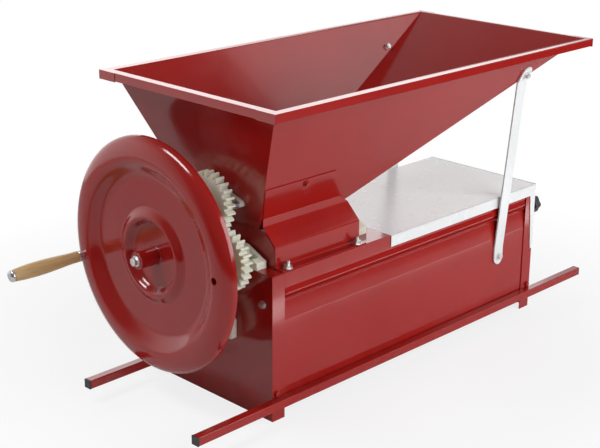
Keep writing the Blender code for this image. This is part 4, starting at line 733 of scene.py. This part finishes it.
handle = {
    "start": -0.4909, "ferrule": 0.006, "gripEnd": -0.6465, "bore": 0.0063, "steps": 56,
    "swell": ((0.0, 0.0107), (0.01, 0.0112), (0.04, 0.0113), (0.10, 0.0112), (0.18, 0.0117),
              (0.28, 0.0126), (0.40, 0.0136), (0.52, 0.0143), (0.64, 0.0145), (0.76, 0.0142),
              (0.86, 0.0134), (0.93, 0.0125), (0.975, 0.0118), (0.993, 0.0113), (1.0, 0.0104)),
    "ferruleLine": ((0.0, 0.0106), (0.0008, 0.0114), (0.0052, 0.0114), (0.0059, 0.0108)),
}
cap = {
    "start": -0.6469, "radius": 0.0120, "length": 0.0078, "neck": 0.0066, "steps": 48,
    "dome": ((0.0, 0.94), (0.05, 0.985), (0.14, 1.0), (0.36, 0.995), (0.55, 0.94), (0.72, 0.83),
             (0.86, 0.66), (0.95, 0.44), (0.99, 0.2), (1.0, 0.0), (0.8, 0.0)),
}


def gripOutline():
    start, end = handle["start"] - handle["ferrule"], handle["gripEnd"]
    return [(start - (start - end) * share, radius) for share, radius in handle["swell"]]


gripLine = gripOutline()
gripBore = [(gripLine[-1][0], handle["bore"]), (gripLine[0][0], handle["bore"])]
gripPiece = turned("turnedGrip", gripLine + gripBore, handleAxis["y"], handleAxis["z"], handle["steps"])
smoothBy(gripPiece, 40)
finishAs(gripPiece, "handle_grip")
ferruleLine = [(handle["start"] - along, radius) for along, radius in handle["ferruleLine"]]
ferruleLine = [(ferruleLine[0][0], handle["bore"])] + ferruleLine + [(ferruleLine[-1][0], handle["bore"])]
ferrule = turned("gripFerrule", ferruleLine, handleAxis["y"], handleAxis["z"], handle["steps"])
smoothBy(ferrule, 30)
dress(ferrule, "grip", "zinc_steel")
capLine = [(cap["start"], cap["neck"])]
capLine += [(cap["start"] - cap["length"] * share, cap["radius"] * height) for share, height in cap["dome"]]
gripCap = turned("gripCap", capLine, handleAxis["y"], handleAxis["z"], cap["steps"], closed=False)
smoothBy(gripCap, 40)
dress(gripCap, "crank", "zinc_steel")
print("handle turned")


# Floor, light and camera

studio = {
    "floor": ((-1.7, 2.6), (-0.82, 2.6)),
    "paper": ((0.76, 0.76, 0.77), (0.79, 0.79, 0.80)),
    "seen": (0.80, 1.0), "fade": (0.55, 1.15),   # how far the floor shows as plain white, near and far
    "room": 0.15, "backdrop": 1.1, "below": 0.05, "farFloor": 0.80,
    "behind": (0.2, 0.98, 0.0), "behindEdge": (0.2, 0.7), "lowEdge": (0.75, 0.35),
    "aboveEdge": (-0.12, 0.02), "farEdge": (-0.22, -0.32),
}
photoCamera = {
    "place": (-1.8915, -1.7720, 1.1737), "yaw": 44.81, "pitch": -19.20, "roll": 0.33,
    "lens": 77.9, "sensor": 36.0,
}

lamps = {   # place, what it faces, width and height, power
    "keyBox": ((0.4, -3.0, 1.5), (0.1, 0.0, 0.30), (3.2, 2.0), 95.0),
    "leftBox": ((-1.60, 0.55, 2.05), (-0.3, 0.0, 0.30), (1.0, 0.45), 21.0),
    "sideBox": ((2.22, -1.36, 1.50), (0.1, 0.15, 0.50), (0.75, 1.6), 6.5),
    "backBox": ((2.1, 2.3, 1.75), (0.0, 0.0, 0.50), (2.6, 1.0), 11.0),
    "stripBox": ((0.55, -0.545, 0.012), (0.55, -0.544, 1.0), (1.3, 0.09), 1.1),
}


def addFloor():
    (left, right), (near, far) = studio["floor"]
    clearSelection()
    bpy.ops.mesh.primitive_plane_add(size=1.0, location=((left + right) / 2, (near + far) / 2, 0.0))
    floor = bpy.context.active_object
    edit(floor)
    bpy.ops.mesh.select_all(action="SELECT")
    bpy.ops.transform.resize(value=(right - left, far - near, 1.0))
    leaveEdit()
    settle(floor, "paleFloor")
    paint = Paint("paleFloorPaper")
    mottle = paint.noise(3.0, 3.0, 0.5, y=200)
    paper = paint.ramp(mottle, "Fac", ((0.3, studio["paper"][0]), (0.7, studio["paper"][1])), 200)
    paint.link(paper, "Color", paint.shader, "Base Color")
    paint.shader.inputs["Roughness"].default_value = 0.8
    paint.shader.inputs["Specular IOR Level"].default_value = 0.2
    white = paint.add("ShaderNodeEmission", 600, -500)
    path = paint.add("ShaderNodeLightPath", 300, 400)
    share = paint.add("ShaderNodeMath", 500, 300)
    share.operation = "MULTIPLY"
    reach = paint.add("ShaderNodeVectorMath", 0, 500)
    reach.operation = "LENGTH"
    paint.link(paint.place, "Object", reach, 0)
    fade = paint.grey(reach, "Value", *studio["seen"], *studio["fade"], y=500)
    paint.link(fade, "Result", share, 1)
    choice = paint.add("ShaderNodeMixShader", 800, 200)
    paint.link(path, "Is Camera Ray", share, 0)
    paint.link(share, "Value", choice, 0)
    paint.link(paint.shader, "BSDF", choice, 1)
    paint.link(white, "Emission", choice, 2)
    paint.link(choice, "Shader", paint.output, "Surface")
    floor.data.materials.append(paint.material)


def addLamp(name, place, target, size, power):
    clearSelection()
    bpy.ops.object.light_add(type="AREA", location=place)
    lamp = bpy.context.active_object
    lamp.name = name
    lamp.data.shape = "RECTANGLE"
    lamp.data.size, lamp.data.size_y = size
    lamp.data.energy = power
    lamp.visible_camera = False
    lamp.rotation_euler = (Vector(target) - Vector(place)).to_track_quat("-Z", "Y").to_euler()


def lightRoom():   # pale behind the machine, dim in front, plain white to the camera
    world = bpy.data.worlds.new("studioRoom")
    bpy.context.scene.world = world
    world.use_nodes = True
    tree = world.node_tree
    tree.nodes.clear()

    def add(kind, operation=None):
        node = tree.nodes.new(kind)
        if operation:
            node.operation = operation
        return node

    def spread(edge, low, high):   # from low to high between the two edges
        node = add("ShaderNodeMapRange")
        for index, value in enumerate((*edge, low, high), 1):
            node.inputs[index].default_value = value
        return node

    output = add("ShaderNodeOutputWorld")
    direction = add("ShaderNodeTexCoord")
    behind = add("ShaderNodeVectorMath", "DOT_PRODUCT")
    behind.inputs[1].default_value = studio["behind"]
    split = add("ShaderNodeSeparateXYZ")
    towards = spread(studio["behindEdge"], 0.0, studio["backdrop"])
    low = spread(studio["lowEdge"], 0.0, 1.0)
    above = spread(studio["aboveEdge"], studio["below"], studio["room"])
    far = spread(studio["farEdge"], 0.0, studio["farFloor"])
    band = add("ShaderNodeMath", "MULTIPLY")
    ground = add("ShaderNodeMath", "ADD")
    total = add("ShaderNodeMath", "ADD")
    tree.links.new(direction.outputs["Generated"], behind.inputs[0])
    tree.links.new(direction.outputs["Generated"], split.inputs[0])
    tree.links.new(behind.outputs["Value"], towards.inputs[0])
    tree.links.new(split.outputs["Z"], low.inputs[0])
    tree.links.new(split.outputs["Z"], above.inputs[0])
    tree.links.new(towards.outputs[0], band.inputs[0])
    tree.links.new(low.outputs[0], band.inputs[1])
    tree.links.new(band.outputs[0], total.inputs[0])
    tree.links.new(split.outputs["Z"], far.inputs[0])
    tree.links.new(above.outputs[0], ground.inputs[0])
    tree.links.new(far.outputs[0], ground.inputs[1])
    tree.links.new(ground.outputs[0], total.inputs[1])
    soft = add("ShaderNodeBackground")
    tree.links.new(total.outputs[0], soft.inputs["Strength"])
    plain = add("ShaderNodeBackground")
    soft.inputs["Color"].default_value = (1, 1, 1, 1)
    plain.inputs["Color"].default_value = (1, 1, 1, 1)
    plain.inputs["Strength"].default_value = 1.0
    path = add("ShaderNodeLightPath")
    choice = add("ShaderNodeMixShader")
    tree.links.new(path.outputs["Is Camera Ray"], choice.inputs[0])
    tree.links.new(soft.outputs[0], choice.inputs[1])
    tree.links.new(plain.outputs[0], choice.inputs[2])
    tree.links.new(choice.outputs[0], output.inputs["Surface"])


def addCamera():
    bpy.ops.object.camera_add(location=photoCamera["place"])
    camera = bpy.context.active_object
    camera.name = "photoCamera"
    yaw, pitch = math.radians(photoCamera["yaw"]), math.radians(photoCamera["pitch"])
    forward = Vector((math.cos(pitch) * math.cos(yaw), math.cos(pitch) * math.sin(yaw), math.sin(pitch)))
    turn = forward.to_track_quat("-Z", "Y").to_matrix().to_4x4()
    camera.rotation_euler = turn.to_euler()
    camera.rotation_euler.rotate_axis("Z", math.radians(photoCamera["roll"]))
    camera.data.lens = photoCamera["lens"]
    camera.data.sensor_width = photoCamera["sensor"]
    camera.data.sensor_fit = "HORIZONTAL"
    bpy.context.scene.camera = camera


addFloor()
lightRoom()
for name, values in lamps.items():
    addLamp(name, *values)
addCamera()
bpy.context.scene.view_settings.view_transform = "Standard"
print("studio set")
